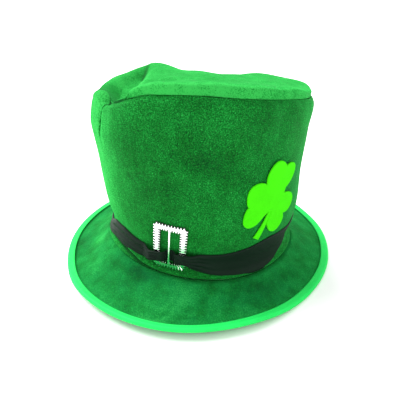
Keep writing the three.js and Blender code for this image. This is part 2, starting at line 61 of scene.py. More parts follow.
class Table:
    """Rows with named columns, read between the rows by a cubic that never overshoots them. The
    first column is the key. A closed table goes round the hat."""

    def __init__(self, columns, rows, closed=False):
        data = np.array(rows, float)
        if closed:
            before, after = data[-2:].copy(), data[:2].copy()
            before[:, 0] -= TURN
            after[:, 0] += TURN
            data = np.vstack([before, data, after])
        self.closed = closed
        self.start = rows[0][0]
        self.key = data[:, 0]
        self.values = data[:, 1:]
        step = np.diff(data, axis=0)
        slope = step[:, 1:] / step[:, :1]
        product = slope[:-1] * slope[1:]
        total = np.where(product > 0, slope[:-1] + slope[1:], 1)
        gentle = np.where(product > 0, 2 * product / total, 0)
        self.slopes = np.vstack([slope[:1], gentle, slope[-1:]])
        self.names = {name: i for i, name in enumerate(columns.split()[1:])}

    def __call__(self, name, at):
        column = self.names[name]
        at = np.asarray(at, float)
        if self.closed:
            at = self.start + np.mod(at - self.start, TURN)
        at = np.clip(at, self.key[0], self.key[-1])
        i = np.clip(np.searchsorted(self.key, at, "right") - 1, 0, len(self.key) - 2)
        span = self.key[i + 1] - self.key[i]
        t = (at - self.key[i]) / span
        bend = self.slopes[i, column] * (t**3 - 2 * t**2 + t) + self.slopes[i + 1, column] * (t**3 - t**2)
        rise = 3 * t**2 - 2 * t**3
        return self.values[i, column] * (1 - rise) + self.values[i + 1, column] * rise + span * bend


# The side wall from foot to top seam: height as a share of the way up, girth and lean towards the
# right side as shares of the crown's radius.
LEAN_AZIMUTH = 104
WALL = Table("height girth lean", [
    (0, 1.012, 0.023),
    (0.03, 0.99, 0.028),
    (0.065, 0.97, 0.035),
    (0.11, 0.965, 0.044),
    (0.17, 0.979, 0.050),
    (0.25, 1.004, 0.046),
    (0.36, 1.02, 0.040),
    (0.56, 1.03, 0.025),
    (0.82, 1.052, 0.021),
    (0.93, 1.056, 0.026),
    (0.975, 1.046, 0.026),
    (1, 1.015, 0.026),
])
FOLD_START = 0.8

# The foot of the side wall on the brim: height as a share of its height at the back.
SEAT = Table("azimuth height", [
    (-150, 1),
    (-100, 1.08),
    (-72, 1.32),
    (-42, 1.53),
    (-28, 1.48),
    (-12, 1.32),
    (10, 1.17),
    (35, 0.98),
    (60, 0.92),
    (110, 0.88),
    (165, 0.98),
], closed=True)

# The top seam: height as a share of the crown's, reach as a share of the wall's radius there, and the
# shares of the pillow and of the tuck by which the tip rises or sinks behind it.
RIM = Table("azimuth height reach pillow tuck", [
    (-160, 0.89, 1, 0.95, 0),
    (-133, 0.965, 1, 0.95, 0),
    (-112, 0.945, 1, 0.8, 0),
    (-90, 0.925, 0.985, 0.7, 0),
    (-75, 0.93, 0.975, 0.1, 0.2),
    (-62, 0.97, 0.965, 0, 0.8),
    (-50, 0.988, 0.955, 0, 1),
    (-38, 0.95, 0.967, 0, 0.6),
    (-25, 0.99, 0.995, 0, 0),
    (-15, 1.027, 1, 0.35, 0),
    (-5, 1.053, 1, 0.8, 0),
    (10, 1.058, 1, 0.9, 0),
    (35, 1.033, 1.005, 1, 0),
    (60, 0.996, 1.015, 0.85, 0),
    (85, 0.954, 1.02, 0.55, 0),
    (110, 0.935, 1.015, 0.6, 0),
    (140, 0.907, 1, 0.95, 0),
    (170, 0.866, 1, 0.95, 0),
], closed=True)

# The tip from seam to middle: way along the cloth, reach as a share of the seam's radius, and the
# shares of thickness, pillow, tuck and slope towards the middle.
TIP = Table("way reach edge rise tuck sag", [
    (0, 1, 0, 0, 0, 0),
    (0.03, 1.004, 0.75, 0.3, 0, 0),
    (0.08, 0.99, 1, 0.66, 0, 0.02),
    (0.15, 0.93, 1, 0.9, 0.3, 0.08),
    (0.24, 0.84, 1, 1, 1, 0.2),
    (0.42, 0.64, 1, 0.98, 0.8, 0.46),
    (0.62, 0.42, 1, 0.94, 0.5, 0.73),
    (0.82, 0.2, 1, 0.9, 0.2, 0.93),
    (1, 0, 1, 0.9, 0, 1),
])
TIP_MIDDLE = 0.955

# The valley across the tip, between two azimuths of the seam, with its width on each side as shares
# of the crown's radius.
CREASE = {"from": -33, "to": -133, "left": 0.34, "right": 0.09}
# How far past its ends and inside them the valley fades, as shares of its length.
CREASE_RUN = (0.15, 0.25)
# Where it starts behind the seam, as shares of the seam's radius.
CREASE_START = (0.05, 0.25)
# How far its first half bows to the left, in metres, and how quickly that ends.
CREASE_BOW = (0.021, 1.6)

# At the left the wall rolls in over the tip, whose edge is tucked under it: shares of the two.
ROLL = Table("azimuth roll tuck", [
    (-100, 0, 0),
    (-82, 0, 0),
    (-68, 0.3, 0.2),
    (-57, 0.9, 0.8),
    (-45, 1, 1),
    (-39, 0.5, 1),
    (-33, 0, 0.5),
    (-25, 0, 0),
    (100, 0, 0),
], closed=True)
# The share of the way up where the roll starts, its turn in radians, and where the tuck ends.
ROLL_START = 0.966
ROLL_TURN = 2.3
TUCK_END = (0.05, 0.15)

# How far above the foot of the wall the groove of the brim seam shows, in metres.
SEAM_RISE = Table("azimuth rise", [
    (-120, 0),
    (-60, 0.004),
    (-45, 0.005),
    (-36, 0.0048),
    (-29, 0.0034),
    (-24, 0.0024),
    (-19, 0.0012),
    (-10, 0.0004),
    (0, 0),
], closed=True)

# The side seam at the left: height over the floor and azimuth, and the heights where it shows.
SIDE_SEAM = Table("height azimuth", [
    (0.13, -43),
    (0.154, -41.2),
    (0.165, -40),
    (0.176, -38.2),
    (0.186, -36),
])
SIDE_SEAM_START = (0.142, 0.158)

# Dents in the side wall: azimuth, height as a share of the way up, width and height as shares of the
# crown's radius, and depth as a share of the cloth's thickness.
DENTS = [
    (-40, 0.88, 0.03, 0.2, 0.3),
    (-60, 0.84, 0.17, 0.25, -0.3),
    (53, 0.9, 0.06, 0.2, 0.4),
    (-20, 0.5, 0.35, 0.3, 0.5),
    (28, 0.35, 0.3, 0.25, -0.5),
    (88, 0.14, 0.25, 0.12, 1.7),
    (140, 0.5, 0.25, 0.5, 0.7),
    (165, 0.7, 0.4, 0.35, 1.3),
    (-150, 0.4, 0.35, 0.4, 0.9),
    (-108, 0.25, 0.2, 0.25, 0.8),
]

# Where the meshes are dense: start, end and step in degrees, or start, end and count of the rows.
WALL_COLUMNS = [(-180, -50, 0.9), (-50, -26, 0.3), (-26, 180, 0.8)]
WALL_ROWS = [(0, 0.12, 44), (0.12, 0.86, 60), (0.86, 0.96, 14), (0.96, 1, 26)]
BACKING_ROWS = [(0, 0.95, 30), (0.95, 1, 20)]
TIP_ROWS = [(0, 0.2, 34), (0.2, 1, 84)]
BAND_COLUMNS = [(-180, -30, 0.75), (-30, 30, 0.3), (30, 180, 0.75)]

# The brim's edge: reach as a share of its mean radius, lift as a share of the front's.
EDGE = Table("azimuth reach lift", [
    (-150, 1.04, 0.55),
    (-120, 1.03, 0),
    (-90, 1, 0),
    (-60, 0.984, 0),
    (-30, 1.003, 0.83),
    (0, 1.01, 1),
    (30, 0.982, 0.83),
    (60, 0.958, 0),
    (90, 0.978, 0),
    (120, 1.018, 0),
    (150, 1.035, 0.55),
    (180, 1.04, 0.75),
], closed=True)

# The brim from its edge to the wall: way, rise, and dip inside the upturned edge, as shares.
SLOPE = Table("way rise dip", [
    (0, 0, 0),
    (0.17, 0, 1),
    (0.4, 0.17, 0.8),
    (0.62, 0.42, 0.4),
    (0.82, 0.7, 0.1),
    (1, 1, 0),
])

# The band: height of its middle and its bunched width, as shares of the named sizes, and how deep
# the fold along it is, from 0 to 1.
BAND = Table("azimuth height width fold", [
    (-140, 1.04, 0.74, 0.2),
    (-100, 0.93, 0.33, 0.5),
    (-85, 0.95, 0.33, 0.5),
    (-72, 0.99, 0.36, 0.5),
    (-60, 1.02, 0.38, 0.7),
    (-50, 1.15, 0.49, 1),
    (-42, 1.25, 0.62, 1),
    (-33, 1.245, 0.65, 1),
    (-26, 1.2, 0.53, 0.9),
    (-19, 1.16, 0.46, 0.7),
    (-13, 1.15, 0.41, 0.6),
    (-8, 1.2, 0.36, 0.5),
    (7, 1.2, 0.37, 0.6),
    (14, 1.08, 0.57, 0.35),
    (28, 0.99, 0.72, 0.06),
    (40, 0.98, 0.89, 0),
    (52, 1.02, 1.04, 0),
    (60, 1.05, 0.95, 0),
    (68, 1.11, 0.75, 0.03),
    (80, 1.14, 0.56, 0.1),
    (110, 1.06, 0.62, 0.15),
    (160, 0.98, 0.74, 0.3),
], closed=True)

# Places where the velour is lighter (above 0) or darker, partly from nap that is brushed light or dark
# and partly painted light and shade: azimuth, height over the floor or way from the brim's edge, width
# round the hat, height, and strength.
WALL_NAP_AND_PAINTED_LIGHT = [
    # The left side, which faces the light, is painted lighter.
    (-80, 0.13, 0.05, 0.12, 0.3),
    (-45, 0.15, 0.03, 0.05, 0.25),
    (-48, 0.09, 0.03, 0.05, 0.25),
    # Painted light on the lobe at the top left.
    (-47, 0.18, 0.013, 0.012, 0.25),
    (-12, 0.155, 0.02, 0.012, -0.12),
    (14, 0.143, 0.018, 0.008, -0.22),
    (24, 0.134, 0.014, 0.008, -0.2),
    (-4, 0.118, 0.035, 0.008, -0.1),
    (42, 0.16, 0.03, 0.04, -0.05),
    (26, 0.16, 0.012, 0.02, 0.08),
    (-22, 0.062, 0.02, 0.01, 0.1),
    (120, 0.12, 0.04, 0.05, 0.15),
    (170, 0.09, 0.06, 0.04, -0.15),
]
BRIM_NAP_AND_PAINTED_LIGHT = [
    (-62, 0.75, 0.012, 0.2, 0.4),
    (-80, 0.4, 0.05, 0.4, -0.1),
    (-46, 0.5, 0.012, 0.14, 0.25),
    (-35, 0.25, 0.05, 0.2, 0.1),
    (-48, 0.1, 0.03, 0.1, -0.15),
    (0, 0.25, 0.03, 0.25, 0.12),
    # Painted shade under the buckle, by the wall.
    (-12, 0.9, 0.03, 0.1, -0.3),
    (24, 0.55, 0.018, 0.2, -0.2),
    (44, 0.6, 0.03, 0.2, -0.15),
    (66, 0.6, 0.03, 0.3, -0.1),
    (48, 0.12, 0.06, 0.1, 0.3),
    (140, 0.5, 0.06, 0.4, 0.1),
]
TIP_NAP_AND_PAINTED_LIGHT = [
    # Painted shadow in the hollow behind the roll at the left.
    (-29, 0.84, 0.026, 0.16, -1.2),
    (-12, 0.86, 0.02, 0.2, 0.1),
    (45, 0.9, 0.04, 0.12, -0.05),
    (10, 0.3, 0.05, 0.3, -0.1),
    # Painted light on the tip's front roll, by the seam.
    (0, 1, 0.06, 0.05, 0.15),
    (40, 1, 0.06, 0.05, 0.15),
]

# The shamrock's leaves: direction in degrees clockwise from its top leaf, length and width as shares
# of the leaf size. Where a leaf starts, its notch and its end are pairs of shares of its own width
# and length.
LEAVES = [
    (0, 1, 0.89, (-0.46, 0.44), 0.9, (0.22, 0.36)),
    (113, 0.7, 1, (-0.37, 0.2), 0.76, (0.36, 0.17)),
    (-103, 0.72, 1.04, (-0.27, 0.32), 0.9, (0.5, 0.41)),
]
STEM = (185, 0.9, 0.17)
STEM_LINE = [(-0.25, 0.2), (-0.4, 0.6), (-0.5, 1), (0.5, 0.97), (0.3, 0.6), (0.25, 0.2)]

# One tooth of the buckle's edge: share of its pitch and of its depth.
TOOTH = [(0, 0), (0.28, 0), (0.36, 1), (0.64, 1), (0.72, 0)]
# A section of its border: share of its width and of its thickness. Its two side walls, along the
# teeth, get painted shade.
BORDER = [(0, 0), (0, 0.92), (0.03, 1), (0.97, 1), (1, 0.92), (1, 0)]
SHADED_SIDES = (0, 4)


def smooth(x, low, high):
    t = np.clip((x - low) / (high - low), 0, 1)
    return t * t * (3 - 2 * t)


def within(x, start, end):
    """1 between two soft edges, each a pair of places, and 0 outside them."""
    return smooth(x, *start) * (1 - smooth(x, *end))


def hump(x, width):
    return np.exp(-((x / width) ** 2))


def mix(a, b, share):
    return a + (b - a) * share


def angle_between(a, b):
    return np.mod(a - b + TURN / 2, TURN) - TURN / 2


def place(azimuth, radius, z):
    angle = np.radians(azimuth)
    radius, z, angle = np.broadcast_arrays(radius, z, angle)
    return np.stack([radius * np.sin(angle), -radius * np.cos(angle), z], axis=-1)


def waves(points, length, seed, count=7):
    """Soft unevenness between about -1 and 1, from waves that cross."""
    draw = np.random.default_rng(seed)
    ways = draw.normal(size=(count, 3))
    ways /= np.linalg.norm(ways, axis=1, keepdims=True)
    rates = 2 * math.pi / (length * draw.uniform(0.7, 1.4, count))
    phases = draw.uniform(0, 2 * math.pi, count)
    return np.sin(points @ (ways * rates[:, None]).T + phases).sum(axis=-1) / math.sqrt(count)


def spread(table, azimuth, up, radius):
    """Sum of soft patches, each a row of azimuth, height, width, height and strength."""
    total = np.zeros(np.broadcast(azimuth, up).shape)
    for at, middle, width, tall, strength in table:
        across = np.radians(angle_between(azimuth, at)) * radius
        total = total + strength * hump(across, width) * hump(up - middle, tall)
    return total


class Form:
    """The shape that every piece follows, from the sizes in the panel."""

    def __init__(self, scene):
        self.crown = scene.hat_crown
        self.brim = scene.hat_brim
        self.trim = scene.hat_trim

    def seat(self, azimuth):
        return self.crown.seat * SEAT("height", azimuth)

    def rim(self, azimuth):
        return self.crown.seat + self.crown.height * RIM("height", azimuth)

    def dent(self, azimuth, height):
        depth = 0
        for at, middle, width, tall, share in DENTS:
            across = np.radians(angle_between(azimuth, at)) / width
            along = (height - middle) * self.crown.height / (tall * self.crown.radius)
            depth = depth + share * self.crown.wall * np.exp(-(across**2) - along**2)
        return depth

    def wall(self, azimuth, height):
        """Outside radius of the side wall at a share of the way up."""
        angle = np.radians(azimuth)
        lean = WALL("lean", height) * np.cos(np.radians(azimuth - LEAN_AZIMUTH))
        fold = mix(1, RIM("reach", azimuth), smooth(height, FOLD_START, 1))
        round_it = self.crown.radius * (WALL("girth", height) + lean) * fold
        return round_it + self.crown.oval * np.cos(angle) ** 2 - self.dent(azimuth, height)

    def wall_line(self, azimuth, heights):
        """Outside of the side wall, radius and height, with its roll over the tip."""
        seat, rim = self.seat(azimuth), self.rim(azimuth)
        radius, z = self.wall(azimuth, heights), mix(seat, rim, heights)
        turn = ROLL_TURN * np.clip((heights - ROLL_START) / (1 - ROLL_START), 0, 1)
        rolled = self.wall(azimuth, ROLL_START) - self.crown.roll * (1 - np.cos(turn))
        raised = mix(seat, rim, ROLL_START) + self.crown.roll * np.sin(turn)
        share = np.where(turn > 0, ROLL("roll", azimuth), 0)
        return mix(radius, rolled, share), mix(z, raised, share)

    def wall_share(self, azimuth, z):
        seat = self.seat(azimuth)
        return (z - seat) / (self.rim(azimuth) - seat)

    def over_wall(self, azimuth, z, lift):
        """Points over the wall, lifted off it along its normal."""
        step = 0.001
        turn = 1.0

        def at(a, height):
            return place(a, self.wall(a, self.wall_share(a, height)), height)

        here = at(azimuth, z)
        side = at(azimuth + turn, z) - here
        rise = at(azimuth, z + step) - here
        normal = np.cross(side, rise)
        normal /= np.linalg.norm(normal, axis=-1, keepdims=True)
        return here + normal * np.asarray(lift)[..., None]

    def stand_off(self, azimuth, z):
        """How far the buckle, straight from its foot to its top, stands off the hollow wall."""
        low = self.trim.buckle_middle - self.trim.buckle_height / 2
        share = np.clip((z - low) / self.trim.buckle_height, 0, 1)
        foot, top = (self.wall(azimuth, self.wall_share(azimuth, low + self.trim.buckle_height * end))
                     for end in (0, 1))
        return np.maximum(mix(foot, top, share) - self.wall(azimuth, self.wall_share(azimuth, z)), 0)

    def bend_over(self, x, y, lift, azimuth, middle, turned, straight=False):
        """A flat outline, turned clockwise and laid over the wall, or bridging its hollow."""
        lean = math.radians(turned)
        across = x * math.cos(lean) + y * math.sin(lean)
        height = y * math.cos(lean) - x * math.sin(lean)
        around = azimuth + np.degrees(across / self.crown.radius)
        if straight:
            lift = lift + self.stand_off(around, middle + height)
        return self.over_wall(around, middle + height, lift)

    def crease(self, points):
        """Distance along the valley as a share of it, and across it, to the left above 0."""
        start = place(CREASE["from"], self.wall(CREASE["from"], 1.0), 0.0)
        end = place(CREASE["to"], self.wall(CREASE["to"], 1.0), 0.0)
        line = (end - start)[:2]
        length = np.linalg.norm(line)
        offset = points[..., :2] - start[:2]
        along = offset @ line / length**2
        across = (line[0] * offset[..., 1] - line[1] * offset[..., 0]) / length
        reach, power = CREASE_BOW
        return along, across + reach * np.clip(1 - 2 * along, 0, 1) ** power

    def crease_ends(self, along):
        past, within = CREASE_RUN
        return smooth(along, -past, within) * smooth(1 - along, -past, within)

    def tip(self, azimuth, way):
        """Upper side of the tip: radius and height at a way from its seam to its middle."""
        seam_radius = self.wall(azimuth, 1.0)
        seam = self.rim(azimuth) + self.crown.gap
        middle = self.crown.seat + self.crown.height * TIP_MIDDLE
        sag = TIP("sag", way)
        reach = TIP("reach", way)
        radius = seam_radius * reach
        pillow = mix(self.crown.pillow * RIM("pillow", azimuth), self.crown.pillow, sag)
        height = mix(seam, middle, sag) + self.crown.tip * TIP("edge", way) + pillow * TIP("rise", way)
        height = height - self.crown.tuck * RIM("tuck", azimuth) * TIP("tuck", way)
        along, across = self.crease(place(azimuth, radius, 0.0))
        width = self.crown.radius * np.where(across > 0, CREASE["left"], CREASE["right"])
        fade = smooth(1 - reach, *CREASE_START)
        valley = self.crown.crease * self.crease_ends(along) * hump(across, width) * fade
        tucked = ROLL("tuck", azimuth) * (1 - smooth(way, *TUCK_END))
        return radius - self.crown.roll_in * tucked, height - valley - self.crown.roll_under * tucked

    def brim_line(self, azimuth, way):
        """Upper side of the brim: radius and height at a way from its edge to the wall."""
        inset = self.brim.tape + self.crown.gap
        edge = self.brim.radius * EDGE("reach", azimuth) - inset
        foot = self.wall(azimuth, 0.0)
        lift = EDGE("lift", azimuth)
        low = self.brim.lift * lift + inset + self.brim.thickness
        high = self.seat(azimuth) - self.crown.gap
        z = mix(low, high, SLOPE("rise", way)) - self.brim.curl * lift * SLOPE("dip", way)
        return mix(edge, foot, way), z

    def near_edge(self, azimuth, inset):
        """Upper side of the brim at a distance in from its edge."""
        edge, _ = self.brim_line(azimuth, 0.0)
        foot = self.wall(azimuth, 0.0)
        return self.brim_line(azimuth, inset / (edge - foot))

    def tape_width(self, azimuth):
        """Width of the tape as it is seen, narrower at the front."""
        narrowing, degrees = 0.2, 45
        return self.brim.tape_width * (1 - narrowing * hump(azimuth, degrees))

    def brim_nose(self, azimuth, lift, count):
        """The round outer edge of the brim, lifted off it, from its upper side to its under side."""
        edge, _ = self.brim_line(azimuth, 0.0)
        _, low = self.near_edge(azimuth, self.brim.nose)
        half = self.brim.thickness / 2
        turn = np.linspace(math.pi / 2, -math.pi / 2, count)[None, :]
        radius = edge - self.brim.nose + (self.brim.nose + lift) * np.cos(turn)
        return place(azimuth, radius, low - half + (half + lift) * np.sin(turn))

    def on_buckle(self, azimuth, z):
        """Distance across the buckle from its middle line, to the right."""
        across = np.radians(angle_between(azimuth, 0)) * self.crown.radius
        lean = math.radians(self.trim.buckle_turn)
        return across * math.cos(lean) - (z - self.trim.buckle_middle) * math.sin(lean)


def thicken(radius, z, thickness):
    """The other side of a cloth whose sections run along the last axis."""
    dr, dz = np.gradient(radius, axis=-1), np.gradient(z, axis=-1)
    length = np.hypot(dr, dz)
    return radius - thickness * dz / length, z + thickness * dr / length


def make_object(name, points, faces, materials, second=None, soft=True, nap=None):
    """A closed mesh in the frame, with its faces turned outwards. Faces named in second have the
    second material."""
    mesh = bpy.data.meshes.new(name)
    mesh.from_pydata((points + AXIS).tolist(), [], faces)
    for material in materials:
        mesh.materials.append(material)
    if second is not None:
        mesh.polygons.foreach_set("material_index", np.asarray(second, np.int32))
    mesh.polygons.foreach_set("use_smooth", np.full(len(faces), soft))
    if nap is not None:
        values = mesh.attributes.new("nap", "FLOAT", "POINT").data
        values.foreach_set("value", np.asarray(nap, np.float32))
    shell = bmesh.new()
    shell.from_mesh(mesh)
    bmesh.ops.recalc_face_normals(shell, faces=shell.faces)
    shell.to_mesh(mesh)
    shell.free()
    if mesh.validate(verbose=True):
        raise RuntimeError(f"{name} has a broken mesh")
    piece = bpy.data.objects.new(name, mesh)
    bpy.context.scene.collection.objects.link(piece)
    return piece


def sweep_faces(columns, size, closed=True):
    """Quads between closed sections of some size, one after the other. A closed sweep joins the last
    section to the first; an open one gets a face at both ends."""
    column, i = np.meshgrid(np.arange(columns if closed else columns - 1), np.arange(size), indexing="ij")
    right, after = (column + 1) % columns, (i + 1) % size
    quads = np.stack([column * size + i, column * size + after, right * size + after, right * size + i], -1)
    faces = quads.reshape(-1, 4).tolist()
    if not closed:
        faces += [list(range(size)), list(range(columns * size - 1, (columns - 1) * size - 1, -1))]
    return faces


def ring(name, sections, materials, inner_from=None, nap=None):
    """A ring from closed sections, shaped (columns, points, 3). From inner_from on, the section has
    the second material."""
    columns, size = sections.shape[:2]
    second = None if inner_from is None else np.arange(columns * size) % size >= inner_from
    nap = None if nap is None else nap.reshape(-1)
    points = sections.reshape(-1, 3)
    return make_object(name, points, sweep_faces(columns, size), materials, second, nap=nap)


def disc(name, upper, under, materials, nap):
    """A disc of cloth from its upper and under side, shaped (columns, points, 3), each from the seam
    to one point on the axis."""
    columns = len(upper)
    loops = np.concatenate([upper[:, -2::-1], under[:, :-1]], axis=1)
    size = loops.shape[1]
    points = np.vstack([loops.reshape(-1, 3), upper[:1, -1], under[:1, -1]])
    top, bottom = columns * size, columns * size + 1
    faces = []
    for column in range(columns):
        here, after = column * size, (column + 1) % columns * size
        faces += [[here + i, here + i + 1, after + i + 1, after + i] for i in range(size - 1)]
        faces += [[top, here, after], [bottom, after + size - 1, here + size - 1]]
    napped = np.concatenate([nap[:, -2::-1], np.zeros((columns, under.shape[1] - 1))], axis=1)
    return make_object(name, points, faces, materials, nap=np.append(napped, [nap[0, -1], 0]))


def dress(piece, node):
    """The piece rides on the hat and stands for its solid."""
    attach(piece, BODY)
    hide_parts(node)
    return piece


def azimuths(count):
    return -TURN / 2 + TURN * np.arange(count) / count


def columns_at(runs):
    return np.sort(np.concatenate([np.arange(*run) for run in runs]))[:, None]


def rows_at(runs):
    return np.unique(np.concatenate([np.linspace(*run) for run in runs]))[None, :]


class Value:
    """A number that changes over a surface. An expression on it adds Math nodes."""

    def __init__(self, finish, socket):
        self.finish = finish
        self.socket = socket

    def math(self, operation, *inputs):
        return self.finish.value("ShaderNodeMath", {"operation": operation}, dict(enumerate(inputs)))

    def __add__(self, other):
        return self.math("ADD", self, other)

    __radd__ = __add__

    def __sub__(self, other):
        return self.math("SUBTRACT", self, other)

    def __rsub__(self, other):
        return self.math("SUBTRACT", other, self)

    def __mul__(self, other):
        return self.math("MULTIPLY", self, other)

    __rmul__ = __mul__

    def sine(self):
        return self.math("SINE", self)

    def between(self, low, high):
        """0 below low, 1 above high, and smooth between them."""
        settings = {"interpolation_type": "SMOOTHSTEP"}
        return self.finish.value("ShaderNodeMapRange", settings, {0: self, 1: low, 2: high}, 0)


class Finish:
    """One material and its nodes."""

    def __init__(self, name):
        self.material = bpy.data.materials.new(name)
        self.material.use_nodes = True
        self.tree = self.material.node_tree
        self.tree.nodes.clear()
        self.where = self.node("ShaderNodeTexCoord").outputs["Object"]

    def node(self, kind, settings=None, inputs=None):
        made = self.tree.nodes.new(kind)
        for name, setting in (settings or {}).items():
            if name == "stops":
                self.set_stops(made.color_ramp, setting)
            else:
                setattr(made, name, setting)
        for name, value in (inputs or {}).items():
            self.put(made.inputs[name], value)
        return made

    def set_stops(self, ramp, stops):
        while len(ramp.elements) < len(stops):
            ramp.elements.new(1)
        for element, (position, colour) in zip(ramp.elements, stops):
            element.position = position
            element.color = (*colour, 1)

    def put(self, socket, value):
        if isinstance(value, Value):
            value = value.socket
        if isinstance(value, bpy.types.NodeSocket):
            self.tree.links.new(value, socket)
        elif socket.type == "RGBA" and len(value) == 3:
            socket.default_value = (*value, 1)
        else:
            socket.default_value = value

    def value(self, kind, settings=None, inputs=None, output=0):
        return Value(self, self.node(kind, settings, inputs).outputs[output])

    def noise(self, size, detail=2.0, rough=0.5, where=None, seed=0.0):
        """Noise from 0 to 1 whose blotches are about this many metres wide."""
        at = self.vector("ADD", where or self.where, (seed, seed, seed))
        inputs = {"Vector": at, "Scale": 1 / size, "Detail": detail, "Roughness": rough}
        return self.value("ShaderNodeTexNoise", None, inputs)

    def vector(self, operation, *inputs):
        made = self.node("ShaderNodeVectorMath", {"operation": operation}, dict(enumerate(inputs)))
        return made.outputs[0]

    def axes(self):
        parts = self.node("ShaderNodeSeparateXYZ", None, {0: self.where})
        return [Value(self, socket) for socket in parts.outputs]

    def around(self):
        """Azimuth in radians."""
        x, y, _ = self.axes()
        return x.math("ARCTAN2", x - float(AXIS[0]), 0.0 - (y - float(AXIS[1])))

    def mix(self, share, first, second):
        made = self.node("ShaderNodeMix", {"data_type": "RGBA"}, {0: share, 6: first, 7: second})
        return made.outputs[2]

    def ramp(self, share, stops):
        return self.node("ShaderNodeValToRGB", {"stops": stops}, {0: share}).outputs[0]

    def bump(self, height, distance, strength=1.0):
        inputs = {"Height": height, "Distance": distance, "Strength": strength}
        return self.node("ShaderNodeBump", None, inputs).outputs[0]

    def surface(self, **sockets):
        names = {name.replace("_", " "): value for name, value in sockets.items()}
        shader = self.node("ShaderNodeBsdfPrincipled", None, names)
        self.node("ShaderNodeOutputMaterial", None, {"Surface": shader.outputs[0]})
        return self.material


def shade_of(colour, factor):
    return tuple(min(1.0, part * factor) for part in colour)


def velour(name, colours, painted_light=0.0, grainy=1.7, patchy=0.4, teal=0.1):
    """Crushed velour: patches where the nap lies light or dark, streaks where it was stroked, a fine broken
    grain and bright flecks. Painted light is added on top: a painted lightness for a piece that faces
    the light, and the nap attribute, which holds the nap patches together with painted light and shade.
    Grainy and patchy are the contrast of grain and patches, teal the share of the bluish clouds."""
    finish = Finish(name)
    nap = finish.value("ShaderNodeAttribute", {"attribute_name": "nap"}, None, "Fac")
    patches = finish.noise(0.045, 3.0, 0.6)
    clouds = finish.noise(0.017, 2.0, 0.55, seed=3.1)
    stroke = finish.vector("MULTIPLY", finish.where, (1.0, 1.0, 0.3))
    streaks = finish.noise(0.006, 2.0, 0.6, where=stroke, seed=7.7)
    grain = finish.noise(0.0009, 1.0, 0.6, seed=1.3)
    flecks = finish.noise(0.001, 1.0, 0.6, seed=5.9).between(0.56, 0.7)
    # Painted light: the piece's painted lightness and the painted light and shade in the nap attribute are
    # added to the nap's own patches.
    lie_and_light = 0.45 + painted_light + nap + (patches + clouds - 1.0) * patchy + (streaks - 0.5) * 0.3
    lie_and_light = lie_and_light + (grain - 0.5) * grainy
    pile = finish.ramp(lie_and_light, [
        (0.05, colours.velour_dark), (0.45, colours.velour),
        (0.8, colours.velour_light), (1.0, colours.velour_bright),
    ])
    pile = finish.mix(flecks * 0.32, pile, colours.velour_fleck)
    pile = finish.mix(clouds * teal, pile, colours.velour_teal)
    height = grain + streaks * 0.8 + clouds * 1.5
    return finish.surface(
        Base_Color=pile,
        Roughness=0.85 + (patches - 0.5) * 0.2,
        Specular_IOR_Level=0.05,
        Sheen_Weight=0.38,
        Sheen_Roughness=0.45,
        Sheen_Tint=colours.velour_sheen,
        Normal=finish.bump(height, 0.0006, 0.6),
    )


def backing(colours):
    """The knitted back of the velour, inside the crown."""
    finish = Finish("velour backing")
    around = finish.around()
    _, _, z = finish.axes()
    wales, courses = 420.0, 3600.0
    knit = (around * wales).sine() * (z * courses).sine()
    shade = finish.noise(0.03, 2.0)
    base = finish.mix(shade, shade_of(colours.velour, 0.8), shade_of(colours.velour, 1.5))
    return finish.surface(
        Base_Color=base,
        Roughness=0.9,
        Specular_IOR_Level=0.1,
        Normal=finish.bump(knit + finish.noise(0.002, 1.0), 0.0002, 0.6),
    )


def tape(colours):
    """Bias tape: a smooth bright weave with a faint diagonal rib and soft puckers."""
    finish = Finish("bias tape")
    around = finish.around()
    x, y, z = finish.axes()
    flat = finish.node("ShaderNodeCombineXYZ", None, {0: x, 1: y}).outputs[0]
    radius = finish.value("ShaderNodeVectorMath", {"operation": "LENGTH"}, {0: flat}, "Value")
    ribs_round, ribs_across = 620.0, 3500.0
    rib = (around * ribs_round + (radius + z) * ribs_across).sine()
    puckers = finish.noise(0.007, 2.0, 0.5)
    wear = finish.noise(0.03, 3.0, 0.6, seed=2.0)
    # Darker where the tape is worn, and painted shade in the hollows of the puckers and the rib.
    base = finish.mix(wear * 0.5 + puckers * 0.3 + rib * 0.05, colours.tape_worn_and_shaded, colours.tape)
    return finish.surface(
        Base_Color=base,
        Roughness=0.55 + wear * 0.15,
        Specular_IOR_Level=0.15,
        Sheen_Weight=0.15,
        Sheen_Tint=colours.tape,
        Normal=finish.bump(rib * 0.25 + puckers * 2.0, 0.0003, 0.7),
    )


def satin(colours):
    """Satin ribbon: long floats along it, a soft gloss and faint creases across it."""
    finish = Finish("satin")
    around = finish.around()
    _, _, z = finish.axes()
    threads, weave = 9000.0, 300.0
    floats = (z * threads + (around * weave).sine() * 0.6).sine()
    creases = finish.noise(0.012, 3.0, 0.6)
    tone = finish.noise(0.05, 2.0)
    base = finish.mix(tone, colours.satin, colours.satin_light)
    return finish.surface(
        Base_Color=base,
        Roughness=0.46 + creases * 0.12,
        Specular_IOR_Level=0.08,
        Sheen_Weight=0.01,
        Sheen_Roughness=0.4,
        Normal=finish.bump(floats * 0.05 + creases, 0.0003, 0.5),
    )


def silver(colours):
    """Bright silvered buckle with fine scratches."""
    finish = Finish("silvered metal")
    dust = finish.noise(0.004, 3.0, 0.6)
    scratch = finish.noise(0.0007, 2.0, 0.5)
    return finish.surface(
        Base_Color=finish.mix(dust, shade_of(colours.silver, 0.93), colours.silver),
        Metallic=1.0,
        Roughness=0.1 + dust * 0.12,
        Normal=finish.bump(scratch, 0.00008, 0.4),
    )


